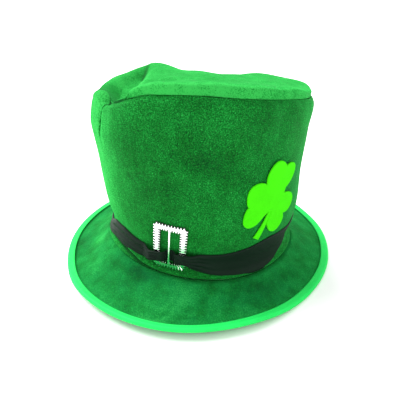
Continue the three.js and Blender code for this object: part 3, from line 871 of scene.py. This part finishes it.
def tooth_shade_metal(colours):
    """Painted shade: near-black metal for the side walls of the buckle's teeth, which are in shadow."""
    finish = Finish("painted shade edge")
    dust = finish.noise(0.003, 2.0)
    base = finish.mix(dust, shade_of(colours.silver, 0.01), shade_of(colours.silver, 0.04))
    return finish.surface(Base_Color=base, Metallic=0.5, Roughness=0.5 + dust * 0.2)


def felt(colours):
    """Craft felt: short matted fibres, with painted shade in the hollows of the matting."""
    finish = Finish("craft felt")
    mat = finish.noise(0.0012, 3.0, 0.7)
    cloud = finish.noise(0.012, 2.0, 0.5)
    # Painted shade: darker where the bump of the matting is low.
    share = mat * 0.6 + cloud * 0.5
    base = finish.mix(share, colours.felt_shaded, colours.felt)
    return finish.surface(
        Base_Color=base,
        Roughness=0.9,
        Specular_IOR_Level=0.05,
        Sheen_Weight=0.25,
        Sheen_Tint=colours.felt,
        Normal=finish.bump(mat + cloud, 0.0004, 0.6),
    )


def thread(colours):
    """Twisted thread in the tape's colours."""
    finish = Finish("sewing thread")
    twist = finish.noise(0.0006, 1.0)
    # Darker in the hollows of the twist: painted shade.
    base = finish.mix(twist, colours.tape_worn_and_shaded, colours.tape)
    return finish.surface(Base_Color=base, Roughness=0.6, Normal=finish.bump(twist, 0.0001, 0.5))


def size(name, description, default):
    return bpy.props.FloatProperty(name=name, description=description, default=default, min=0.0,
                                   precision=4, unit="LENGTH")


def number(name, description, default):
    return bpy.props.FloatProperty(name=name, description=description, default=default)


def colour(name, description, default):
    return bpy.props.FloatVectorProperty(name=name, description=description, default=default, size=3,
                                         min=0.0, max=1.0, subtype="COLOR")


class HatCrownSizes(bpy.types.PropertyGroup):
    radius: size("Radius", "Outside radius of the side wall", 0.1)
    oval: size("Oval", "How much further the crown reaches front and back", 0.002)
    height: size("Height", "From the seat on the brim to the mean of the top seam", 0.162)
    seat: size("Seat height", "Mean height of the brim seam over the floor", 0.022)
    wall: size("Wall thickness", "Velour on its foam backing", 0.003)
    tip: size("Tip thickness", "The same cloth at the top", 0.003)
    pillow: size("Pillow", "How far the tip stands over its own thickness", 0.008)
    tuck: size("Tuck", "How far the tip sinks behind the folded wall", 0.008)
    crease: size("Crease", "Depth of the valley in the tip", 0.009)
    gap: size("Seam gap", "Between cloths sewn to each other", 0.0003)
    seam: size("Side seam", "Depth of the groove at the side seam", 0.0016)
    ridge: size("Foot ridge", "How far the seam allowance stands out at the foot", 0.0017)
    foot: size("Foot groove", "Depth of the groove at the brim seam", 0.0028)
    roll: size("Roll", "Radius of the wall's roll over the tip", 0.0065)
    roll_in: size("Tuck inwards", "How far in the tip's edge is tucked under the roll", 0.0045)
    roll_under: size("Tuck down", "How far down it is tucked", 0.006)
    fold: size("Fold", "Depth of the sharp fold in the valley", 0.006)


class HatBrimSizes(bpy.types.PropertyGroup):
    radius: size("Radius", "Mean reach of the brim", 0.15)
    thickness: size("Thickness", "Padded velour", 0.003)
    lift: size("Lift", "How far the front is raised over the resting sides", 0.008)
    curl: size("Curl", "How far the lifted edge turns up over the brim inside it", 0.002)
    ledge: size("Ledge", "Width of the brim under the foot of the wall", 0.004)
    nose: size("Nose", "How far in its round edge reaches", 0.0014)
    tape: size("Tape thickness", "Bias tape round the edge", 0.0007)
    tape_width: size("Tape width", "Seen from above", 0.007)


class HatTrimSizes(bpy.types.PropertyGroup):
    band_width: size("Band width", "Satin laid out flat", 0.034)
    band_height: size("Band height", "Mean height of the band over the floor", 0.04)
    band: size("Band thickness", "Satin ribbon, folded", 0.001)
    laid: size("Laid gap", "Between the wall and what is laid round it", 0.0006)
    buckle_width: size("Buckle width", "Across the border", 0.029)
    buckle_height: size("Buckle height", "Along the border", 0.048)
    border: size("Border", "Width of the buckle's border", 0.0052)
    buckle: size("Buckle thickness", "Of the border", 0.0018)
    buckle_middle: size("Buckle middle", "Height over the floor", 0.059)
    buckle_turn: number("Buckle turn", "Degrees clockwise", 5.0)
    bar: size("Slide bar", "Width of the upright bar", 0.0024)
    tooth_pitch: size("Tooth pitch", "Of the sawtooth edge", 0.0028)
    tooth: size("Tooth depth", "Of the sawtooth edge", 0.0018)
    leaf: size("Leaf", "Across one leaf of the shamrock", 0.039)
    shamrock_azimuth: number("Shamrock azimuth", "Degrees from the front", 52.0)
    shamrock_middle: size("Shamrock middle", "Height where the leaves meet", 0.095)
    shamrock_turn: number("Shamrock turn", "Degrees clockwise", 21.0)
    felt: size("Felt", "Thickness of the shamrock", 0.0014)


class HatColours(bpy.types.PropertyGroup):
    velour: colour("Velour", "The nap at its mean", (0.0018, 0.104, 0.0085))
    velour_dark: colour("Velour dark", "Nap that lies away from the light", (0.0006, 0.034, 0.004))
    velour_light: colour("Velour light", "Nap that lies towards the light", (0.008, 0.23, 0.028))
    velour_fleck: colour("Velour fleck", "Broken tips of the nap", (0.03, 0.22, 0.04))
    velour_teal: colour("Velour teal", "Where the nap turns bluish", (0.0008, 0.15, 0.045))
    velour_bright: colour("Velour bright", "Nap that shines", (0.03, 0.38, 0.06))
    velour_sheen: colour("Velour sheen", "At a slant", (0.06, 0.95, 0.17))
    tape: colour("Tape", "Bias tape", (0.022, 0.86, 0.14))
    tape_worn_and_shaded: colour("Tape dark", "Bias tape in its puckers", (0.008, 0.55, 0.085))
    satin: colour("Satin", "Ribbon", (0.0012, 0.006, 0.003))
    satin_light: colour("Satin light", "Ribbon where it catches light", (0.005, 0.017, 0.009))
    silver: colour("Silver", "Buckle", (0.95, 0.95, 0.96))
    felt: colour("Felt", "Shamrock", (0.058, 0.72, 0.004))
    felt_shaded: colour("Felt dark", "Shamrock's hollows", (0.038, 0.52, 0.0025))


class HatStudio(bpy.types.PropertyGroup):
    camera_place: bpy.props.FloatVectorProperty(
        name="Camera", description="Where the camera stands", default=(0.09837, -0.37661, 0.25827),
        size=3, subtype="TRANSLATION", unit="LENGTH")
    camera_turn: bpy.props.FloatVectorProperty(
        name="Camera turn", description="Pitch from straight down, roll and heading",
        default=(math.radians(62.208), 0.0, math.radians(14.238)), size=3, subtype="EULER")
    lens: number("Lens", "Millimetres on a 36 mm frame", 35.26)
    floor: colour("Floor", "A plain pale floor", (0.93, 0.93, 0.93))
    sky: number("Soft light", "Light from all round", 1.25)
    sun: number("Top light", "Soft light from above and the left", 4.5)
    sun_spread: number("Top light spread", "Degrees across the light, as it is seen", 50.0)


class HatOperator:
    """What the operators share."""

    bl_options = {"REGISTER", "UNDO"}

    def execute(self, context):
        self.build(Form(context.scene), context.scene.hat_colours)
        return {"FINISHED"}


class HAT_OT_crown_side(HatOperator, bpy.types.Operator):
    """Make the side wall of the crown"""

    bl_idname = "hat.crown_side"
    bl_label = "Crown side"

    def build(self, form, colours):
        crown = form.crown
        azimuth, heights = columns_at(WALL_COLUMNS), rows_at(WALL_ROWS)
        seat, rim = form.seat(azimuth), form.rim(azimuth)
        radius, z = form.wall_line(azimuth, heights)
        up = z - seat - SEAM_RISE("rise", azimuth)
        groove, line = self.seam_groove(form, azimuth, z)
        radius = radius + groove + self.foot_ridge(form, up)
        radius = radius + self.puckers(form, azimuth, z, rim)
        inner_radius, inner_z = thicken(*form.wall_line(azimuth, rows_at(BACKING_ROWS)), crown.wall)
        inner_z[:, 0] = seat[:, 0]
        inner = place(azimuth, inner_radius, inner_z)[:, ::-1]
        sections = np.concatenate([place(azimuth, radius, z), inner], 1)
        # The nap attribute holds nap patches with painted light and shade, and painted shade in the foot
        # groove and along the side seam.
        foot_shade, seam_shade = hump(up, 0.0013), 0.6 * line
        nap = np.zeros(sections.shape[:2])
        nap[:, :heights.size] = spread(WALL_NAP_AND_PAINTED_LIGHT, azimuth, z, crown.radius) - foot_shade - seam_shade
        materials = [velour("crushed velour", colours), backing(colours)]
        piece = ring("crown_side_velour", sections, materials, heights.size, nap)
        dress(piece, "crown_side")

    def seam_groove(self, form, azimuth, z):
        """The sewn side seam at the left, a groove beside a soft welt, and how deep it is from 0 to 1."""
        across = np.radians(angle_between(azimuth, SIDE_SEAM("azimuth", z))) * form.crown.radius
        fade = smooth(z, *SIDE_SEAM_START)
        groove, welt, rise = 0.0009, 0.004, 0.35
        thin = fade * hump(across, groove)
        return form.crown.seam * (rise * fade * hump(across - welt, welt) - thin), thin

    def foot_ridge(self, form, up):
        """The seam allowance that stands out under the band, above the groove of the brim seam."""
        crown = form.crown
        middle, width, groove = 0.0042, 0.0022, 0.001
        return crown.ridge * hump(up - middle, width) - crown.foot * np.exp(-np.abs(up) / groove)

    def puckers(self, form, azimuth, z, rim):
        """Small gathers along the top seam and a soft unevenness all over."""
        points = place(azimuth, form.crown.radius, z)
        near = hump(rim - z, 0.009)
        above_band = smooth(z, 0.085, 0.13) * 0.7 + 0.3
        gathers = 0.00035 * waves(points, 0.016, 11) * near
        return gathers + 0.0005 * waves(points, 0.06, 12) * above_band


class HAT_OT_crown_tip(HatOperator, bpy.types.Operator):
    """Make the slumped tip of the crown"""

    bl_idname = "hat.crown_tip"
    bl_label = "Crown tip"

    def build(self, form, colours):
        crown = form.crown
        azimuth = azimuths(540)[:, None]
        way = rows_at(TIP_ROWS)
        radius, z = form.tip(azimuth, way)
        upper = place(azimuth, radius, z)
        fold, shade = self.folds(form, upper, way)
        upper[..., 2] += fold
        low_way = np.linspace(0, 1, 32)[None, :]
        low_radius, low_z = form.tip(azimuth, low_way)
        low_radius, low_z = thicken(low_radius, low_z, crown.tip)
        low_radius[:, 0] = radius[:, 0] - crown.tip
        low_z[:, 0] = z[:, 0]
        low_radius[:, -1] = 0
        low_z[:, -1] = z[0, -1] - crown.tip
        under = place(azimuth, np.maximum(low_radius, 0), low_z)
        # The nap attribute holds nap patches with painted light and shade, and the painted light and shade
        # of the folds; the whole tip is painted lighter, as it faces the light.
        nap = spread(TIP_NAP_AND_PAINTED_LIGHT, azimuth, TIP("reach", way), crown.radius) + shade
        material = velour("crushed velour tip", colours, painted_light=0.33, grainy=1.1)
        piece = disc("crown_tip_velour", upper, under, [material], nap)
        dress(piece, "crown_tip")

    def folds(self, form, points, way):
        """The sharp bottom of the valley, the roll beside it and a soft unevenness, with the painted light
        and shade there: a painted highlight on the roll and painted shade in the slit and the hollow beside
        it."""
        along, across = form.crease(points)
        inside = within(way, (0.01, 0.06), (0.93, 1))
        ends = smooth(along, -0.3, -0.12) * smooth(1 - along, -0.1, 0.45) * inside
        roll = 0.35 * hump(across + 0.006, 0.007)
        slit = 0.35 * np.exp(-np.abs(across) / 0.0018)
        drop = 0.75 * within(across, (-0.001, 0.0025), (0.004, 0.03))
        sharp = form.crown.fold * (roll - slit - drop)
        uneven = 0.0007 * waves(points, 0.045, 21) * inside
        # Painted highlight on the roll, painted shade in the slit and in the hollow left of it.
        roll_shade, slit_shade = 0.3 * hump(across + 0.005, 0.005), 1.2 * hump(across, 0.002)
        drop_shade = within(across, (0.001, 0.006), (0.03, 0.05)) * mix(-1.7, 0.1, smooth(along, 0.05, 0.6))
        return ends * sharp + uneven, ends * (roll_shade - slit_shade + drop_shade)


class HAT_OT_brim(HatOperator, bpy.types.Operator):
    """Make the padded brim"""

    bl_idname = "hat.brim"
    bl_label = "Brim"

    def build(self, form, colours):
        brim = form.brim
        azimuth = azimuths(480)[:, None]
        way = np.linspace(0, 1, 72)[None, :]
        radius, z = form.brim_line(azimuth, way)
        points = place(azimuth, radius, z)
        uneven = 0.0006 * waves(points, 0.05, 31) + 0.00025 * waves(points, 0.02, 32)
        z = z + uneven * within(way, (0.12, 0.3), (0.9, 1))
        tape_dip, seam_dip = 0.0008 * hump(way - 0.175, 0.04), 0.0012 * hump(way - 1, 0.03)
        z = z - tape_dip - seam_dip
        ledge = place(azimuth, radius[:, -1:] - brim.ledge, z[:, -1:])
        low_way = np.linspace(0, 1, 24)[None, :]
        low_radius, low_z = form.brim_line(azimuth, low_way)
        radius = np.minimum(radius, radius[:, :1] - brim.nose)
        low_z = low_z - brim.thickness
        under = place(azimuth, np.minimum(low_radius, low_radius[:, :1] - brim.nose), low_z)
        low_ledge = place(azimuth, low_radius[:, -1:] - brim.ledge, low_z[:, -1:])
        nose = form.brim_nose(azimuth, 0.0, 13)[:, 1:-1]
        sections = np.concatenate([place(azimuth, radius, z)[:, ::-1], nose, under, low_ledge, ledge], 1)
        # The nap attribute holds nap patches with painted light and shade; the whole brim is painted
        # slightly lighter than the wall.
        nap = np.zeros(sections.shape[:2])
        nap[:, :way.size] = spread(BRIM_NAP_AND_PAINTED_LIGHT, azimuth, way, form.crown.radius)[:, ::-1]
        material = velour("crushed velour brim", colours, painted_light=0.12, grainy=1.2, patchy=1.0, teal=0.7)
        piece = ring("brim_velour", sections, [material], nap=nap)
        dress(piece, "brim")


class HAT_OT_tape(HatOperator, bpy.types.Operator):
    """Make the tape folded round the edge of the brim, with its stitches"""

    bl_idname = "hat.tape"
    bl_label = "Edge tape"

    def build(self, form, colours):
        azimuth = azimuths(720)[:, None]
        outside = self.section(form, azimuth, form.brim.tape + form.crown.gap, 23)
        inside = self.section(form, azimuth, form.crown.gap, 13)
        sections = np.concatenate([outside, inside[:, ::-1]], 1)
        piece = ring("edge_tape", sections, [tape(colours)])
        dress(piece, "brim_binding")
        2 * form.brim.tape_width + form.brim.thickness
        stitches = self.stitches(form, colours)
        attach(stitches, BODY)

    def section(self, form, azimuth, lift, count):
        """One side of the tape, from its upper inner edge round the brim's edge to the lower one."""
        share = np.linspace(0, 1, 9)[None, :-1]
        radius, z = form.near_edge(azimuth, mix(form.tape_width(azimuth), form.brim.nose, share))
        pressed_in = 0.0002 * (1 - share) ** 6
        top = place(azimuth, radius, z + lift - pressed_in)
        bottom = place(azimuth, radius, z - form.brim.thickness - lift)[:, ::-1]
        return np.concatenate([top, form.brim_nose(azimuth, lift, count), bottom], 1)

    def stitches(self, form, colours):
        """Short stitches that hold the tape, near its inner edge."""
        count = 300
        length, half_width, height, inset = 0.0021, 0.00028, 0.00022, 0.0016
        at = azimuths(count)
        radius, z = form.near_edge(at, form.tape_width(at) - inset)
        z = z + form.brim.tape + form.crown.gap
        along = np.linspace(-1, 1, 5)[:, None]
        turn = np.arange(6) * math.tau / 6
        taper = np.sqrt(np.clip(1 - along**2, 0.04, 1))
        across, up = half_width * taper * np.cos(turn), height * taper * np.sin(turn)
        sway = np.degrees(along * length / 2 / form.brim.radius)
        bodies = [place(at[i] + sway, radius[i] + across, z[i] + up).reshape(-1, 3) for i in range(count)]
        one = sweep_faces(along.size, turn.size, closed=False)
        points = along.size * turn.size
        faces = [[i * points + corner for corner in face] for i in range(count) for face in one]
        return make_object("tape_stitches", np.vstack(bodies), faces, [thread(colours)])


class HAT_OT_band(HatOperator, bpy.types.Operator):
    """Make the satin band"""

    bl_idname = "hat.band"
    bl_label = "Satin band"

    def build(self, form, colours):
        trim = form.trim
        azimuth = columns_at(BAND_COLUMNS)
        across = np.linspace(-1, 1, 46)[None, :]
        middle = trim.band_height * BAND("height", azimuth)
        width = trim.band_width * BAND("width", azimuth)
        z = middle + width * across / 2
        lift = self.lift(form, azimuth, z) + self.folds(form, azimuth, across, z)
        edge = 1 - smooth(np.abs(across), 0.93, 1) * 0.6
        outer = form.over_wall(azimuth + 0 * z, z, lift + trim.band * edge)
        inner = form.over_wall(azimuth + 0 * z, z, lift)[:, ::-1]
        piece = ring("satin_band", np.concatenate([outer, inner], 1), [satin(colours)])
        dress(piece, "hat_band")

    def lift(self, form, azimuth, z):
        """Off the wall: over the buckle's two upright borders and under its bar."""
        trim = form.trim
        across = form.on_buckle(azimuth, z)
        border = (trim.buckle_width - trim.border) / 2
        flat = trim.border / 2 + trim.tooth + trim.laid
        slope = border - flat - trim.bar / 2 - trim.laid
        outwards = 2.5
        slope = np.where(np.abs(across) > border, outwards * slope, slope)
        over = 1 - smooth(np.abs(np.abs(across) - border), flat, flat + slope)
        return trim.laid + over * (trim.buckle + trim.laid + form.stand_off(azimuth, z))

    def folds(self, form, azimuth, across, z):
        """A fold along the left of the band, and pleats that run out of the buckle."""
        fold = BAND("fold", azimuth)
        line = 0.12 + 0.1 * np.sin(np.radians(azimuth * 3))
        rolls = hump(across - line - 0.45, 0.42) + 0.85 * hump(across - line + 0.5, 0.36)
        along = 0.0017 * fold * (rolls - 0.25)
        distance = np.abs(azimuth)
        bunch = within(distance, (3, 8), (11, 24))
        slant = across * 4.2 + np.radians(azimuth) * 5 * np.sign(azimuth)
        pleats = 0.0008 * bunch * (0.5 + 0.5 * np.sin(slant * math.pi))
        under_bar = 1 - smooth(distance, 3, 6)
        return (np.maximum(along, 0) * (1 - under_bar) + pleats) * (1 - 0.75 * under_bar)


class HAT_OT_buckle(HatOperator, bpy.types.Operator):
    """Make the silver slide buckle"""

    bl_idname = "hat.buckle"
    bl_label = "Slide buckle"

    def build(self, form, colours):
        border_points, border_faces = self.border(form)
        bar_points, bar_faces = self.bar(form)
        points = np.vstack([border_points, bar_points])
        faces = border_faces + [[corner + len(border_points) for corner in face] for face in bar_faces]
        number = np.arange(len(faces))
        # The side walls of the teeth get the painted shade.
        dark = np.isin(number % len(BORDER), SHADED_SIDES) & (number < len(border_faces))
        materials = [silver(colours), tooth_shade_metal(colours)]
        piece = make_object("silver_buckle", points, faces, materials, dark, soft=False)
        dress(piece, "buckle")

    def on_front(self, form, x, y, lift):
        trim = form.trim
        return form.bend_over(x, y, trim.laid + lift, 0.0, trim.buckle_middle, trim.buckle_turn, True)

    def border(self, form):
        """A flat bright border with small sharp teeth along both of its edges."""
        trim = form.trim
        corners = np.array([(-1, -1), (1, -1), (1, 1), (-1, 1)], float)
        outer_half = np.array([trim.buckle_width, trim.buckle_height]) / 2
        cut_out, cut_in = 0.6 * trim.tooth, 1.3 * trim.tooth
        outer_half = outer_half - cut_out
        inner_half = outer_half - trim.border + cut_in
        sections = []
        for i, corner in enumerate(corners):
            after = corners[(i + 1) % 4]
            side = (after - corner) * outer_half
            teeth = max(1, round(np.linalg.norm(side) / trim.tooth_pitch))
            out = np.array([side[1], -side[0]]) / np.linalg.norm(side)
            for step, (share, rise) in enumerate(TOOTH * teeth):
                at = corner + (after - corner) * (step // len(TOOTH) + share) / teeth
                point = trim.tooth * rise
                outer = at * outer_half + out * point
                inner = at * inner_half - out * point
                for across, up in BORDER:
                    sections.append([*(outer + (inner - outer) * across), trim.buckle * up])
        flat = np.array(sections)
        faces = sweep_faces(len(flat) // len(BORDER), len(BORDER))
        return self.on_front(form, flat[:, 0], flat[:, 1], flat[:, 2]), faces

    def bar(self, form):
        """A flat upright bar with round edges, narrow at its top and wider at its foot."""
        trim = form.trim
        along = np.linspace(-1, 1, 41)[:, None]
        width = trim.bar / 2 * (0.72 + 0.5 * np.clip(-along - 0.45, 0, 1))
        turn = np.linspace(0, math.pi, 9)
        x = width * np.concatenate([np.cos(turn), [-0.9, 0.9]])
        up = np.concatenate([0.0009 + 0.0005 * np.sin(turn), [-0.0002, -0.0002]])
        y = along * (trim.buckle_height - trim.border) / 2
        x, y, lift = (part.reshape(-1) for part in np.broadcast_arrays(x, y, up + trim.band + trim.laid))
        return self.on_front(form, x, y, lift), sweep_faces(along.size, turn.size + 2, closed=False)


class HAT_OT_shamrock(HatOperator, bpy.types.Operator):
    """Make the felt shamrock"""

    bl_idname = "hat.shamrock"
    bl_label = "Felt shamrock"

    def build(self, form, colours):
        trim = form.trim
        outline = self.outline(trim)
        pitch, rounding, slack = 0.0012, 0.0008, 1e-7
        grid = self.fill(outline, pitch)
        vertices, _, triangles, *_ = delaunay_2d_cdt(
            [tuple(p) for p in np.vstack([outline, grid])], [],
            [list(range(len(outline)))], 1, slack)
        flat = np.array([tuple(v) for v in vertices])
        triangles = np.array(triangles)
        away = self.distance(flat, outline)
        share = np.clip(away / rounding, 0, 1)
        dome = trim.felt * (0.45 + 0.55 * np.sqrt(1 - (1 - share) ** 2))
        curl = 0.0004 * (1 - smooth(away, 0, 0.006))
        at = (trim.shamrock_azimuth, trim.shamrock_middle, trim.shamrock_turn)
        top, bottom = (form.bend_over(flat[:, 0], flat[:, 1], lift, *at)
                       for lift in (dome + trim.laid + curl, trim.laid + curl))
        count = len(flat)
        edges = self.open_edges(triangles)
        sides = np.vstack([
            np.stack([edges[:, 1], edges[:, 0], edges[:, 0] + count], -1),
            np.stack([edges[:, 1], edges[:, 0] + count, edges[:, 1] + count], -1),
        ])
        faces = np.vstack([triangles, triangles[:, ::-1] + count, sides]).tolist()
        piece = make_object("felt_shamrock", np.vstack([top, bottom]), faces, [felt(colours)])
        dress(piece, "shamrock")

    def outline(self, trim):
        """Clockwise from the left base of the top leaf, in small steps."""
        points = []
        for direction, length, width, line in self.parts():
            angle = math.radians(direction)
            for side, out in line:
                x, y = side * width * trim.leaf, out * length * trim.leaf
                points.append((x * math.cos(angle) + y * math.sin(angle),
                               y * math.cos(angle) - x * math.sin(angle)))
        points = np.array(points)
        dense = []
        for a, b in zip(points, np.roll(points, -1, axis=0)):
            length = np.linalg.norm(b - a)
            steps = math.ceil(length / 0.0009) if length > 1e-6 else 0
            dense += [mix(a, b, step / steps) for step in range(steps)]
        return np.array(dense)

    def parts(self):
        """The two first leaves, the stem and the last leaf, each a line in shares of its size."""
        leaves = []
        for direction, length, width, start, notch, end in LEAVES:
            deep = (1 + notch) / 2
            curves = [
                (start, (-0.58, 0.6), (-0.54, 1), (-0.27, 1)),
                ((-0.27, 1), (-0.12, 1), (-0.03, deep), (0, notch)),
                ((0, notch), (0.03, deep), (0.12, 1), (0.27, 1)),
                ((0.27, 1), (0.58, 1), (0.58, 0.55), end),
            ]
            leaves.append((direction, length, width, [p for curve in curves for p in self.bezier(curve)]))
        return [*leaves[:2], (*STEM, STEM_LINE), leaves[2]]

    def bezier(self, curve):
        t = np.linspace(0, 1, 14)[:-1, None]
        a, b, c, d = (np.array(p, float) for p in curve)
        return a * (1 - t)**3 + 3 * b * t * (1 - t)**2 + 3 * c * t**2 * (1 - t) + d * t**3

    def fill(self, outline, pitch):
        """Points on a staggered grid inside the outline, clear of its edge, and rows near it."""
        low, high = outline.min(axis=0), outline.max(axis=0)
        rows = np.arange(low[1], high[1], pitch)
        points = [(x + pitch / 2 * (i % 2), y) for i, y in enumerate(rows)
                  for x in np.arange(low[0], high[0], pitch)]
        points = np.array(points)
        inside = self.inside(points, outline)
        near = self.distance(points, outline)
        grid = points[inside & (near > 0.0011)]
        after, before = np.roll(outline, -1, axis=0), np.roll(outline, 1, axis=0)
        run = after - before
        normal = np.stack([-run[:, 1], run[:, 0]], -1) / np.linalg.norm(run, axis=1, keepdims=True)
        loops = []
        for offset in (0.0002, 0.00045, 0.0008):
            for sign in (1, -1):
                loop = outline + sign * offset * normal
                keep = self.inside(loop, outline) & (self.distance(loop, outline) > offset * 0.9)
                loops.append(loop[keep])
        return np.vstack([grid, *loops])

    def inside(self, points, outline):
        x, y = points[:, :1], points[:, 1:]
        ax, ay = outline.T
        bx, by = np.roll(outline, -1, axis=0).T
        crosses = (ay > y) != (by > y)
        rise = np.where(by == ay, 1, by - ay)
        return (crosses & (x < ax + (y - ay) * (bx - ax) / rise)).sum(axis=1) % 2 == 1

    def distance(self, points, outline):
        a, b = outline, np.roll(outline, -1, axis=0)
        line = b - a
        offset = points[:, None] - a
        t = np.clip((offset * line).sum(-1) / (line * line).sum(-1), 0, 1)
        return np.linalg.norm(offset - t[..., None] * line, axis=-1).min(axis=1)

    def open_edges(self, triangles):
        sides = np.vstack([triangles[:, [0, 1]], triangles[:, [1, 2]], triangles[:, [2, 0]]])
        known = {tuple(side) for side in sides.tolist()}
        return np.array([side for side in sides.tolist() if (side[1], side[0]) not in known])


class HAT_OT_stage(bpy.types.Operator):
    """Set up the floor, the light and the camera"""

    bl_idname = "hat.stage"
    bl_label = "Stage"
    bl_options = {"REGISTER", "UNDO"}

    def execute(self, context):
        scene, studio = context.scene, context.scene.hat_studio
        self.floor(scene, studio)
        self.light(scene, studio)
        camera = bpy.data.objects.new("camera", bpy.data.cameras.new("camera"))
        camera.data.lens = studio.lens
        camera.data.sensor_width = 36
        camera.location = studio.camera_place
        camera.rotation_euler = studio.camera_turn
        scene.collection.objects.link(camera)
        scene.camera = camera
        scene.view_settings.view_transform = "Standard"
        return {"FINISHED"}

    def floor(self, scene, studio):
        reach = 60.0
        corners = [(-reach, -reach, 0), (reach, -reach, 0), (reach, reach, 0), (-reach, reach, 0)]
        mesh = bpy.data.meshes.new("floor")
        mesh.from_pydata(corners, [], [(0, 1, 2, 3)])
        finish = Finish("pale floor")
        cloud = finish.noise(0.4, 2.0)
        base = finish.mix(cloud, shade_of(studio.floor, 0.99), studio.floor)
        mesh.materials.append(finish.surface(Base_Color=base, Roughness=0.9, Specular_IOR_Level=0.0))
        floor = bpy.data.objects.new("floor", mesh)
        scene.collection.objects.link(floor)

    def light(self, scene, studio):
        world = bpy.data.worlds.new("soft white")
        world.use_nodes = True
        background = world.node_tree.nodes["Background"]
        background.inputs["Color"].default_value = (1, 1, 1, 1)
        background.inputs["Strength"].default_value = studio.sky
        scene.world = world
        sun = bpy.data.objects.new("top_light", bpy.data.lights.new("top_light", "SUN"))
        sun.data.energy = studio.sun
        sun.data.angle = math.radians(studio.sun_spread)
        sun.rotation_euler = (math.radians(-12), math.radians(-38), 0)
        scene.collection.objects.link(sun)


class HAT_PT_pieces(bpy.types.Panel):
    """The hat's pieces and sizes"""

    bl_idname = "HAT_PT_pieces"
    bl_label = "Leprechaun hat"
    bl_space_type = "VIEW_3D"
    bl_region_type = "UI"
    bl_category = "Hat"

    def draw(self, context):
        for operator in OPERATORS:
            self.layout.operator(operator.bl_idname)
        for name in GROUPS:
            group = getattr(context.scene, name)
            box = self.layout.box()
            for key in group.bl_rna.properties.keys():
                if key not in ("rna_type", "name"):
                    box.prop(group, key)


GROUPS = {
    "hat_crown": HatCrownSizes,
    "hat_brim": HatBrimSizes,
    "hat_trim": HatTrimSizes,
    "hat_colours": HatColours,
    "hat_studio": HatStudio,
}
OPERATORS = [
    HAT_OT_stage,
    HAT_OT_crown_side,
    HAT_OT_crown_tip,
    HAT_OT_brim,
    HAT_OT_tape,
    HAT_OT_band,
    HAT_OT_buckle,
    HAT_OT_shamrock,
]


def register():
    for group in GROUPS.values():
        bpy.utils.register_class(group)
    for name, group in GROUPS.items():
        setattr(bpy.types.Scene, name, bpy.props.PointerProperty(type=group))
    for operator in OPERATORS:
        bpy.utils.register_class(operator)
    bpy.utils.register_class(HAT_PT_pieces)


def unregister():
    bpy.utils.unregister_class(HAT_PT_pieces)
    for operator in reversed(OPERATORS):
        bpy.utils.unregister_class(operator)
    for name, group in GROUPS.items():
        delattr(bpy.types.Scene, name)
        bpy.utils.unregister_class(group)


def main():
    register()
    for operator in OPERATORS:
        group, name = operator.bl_idname.split(".")
        getattr(getattr(bpy.ops, group), name)()


if __name__ == "__main__":
    main()
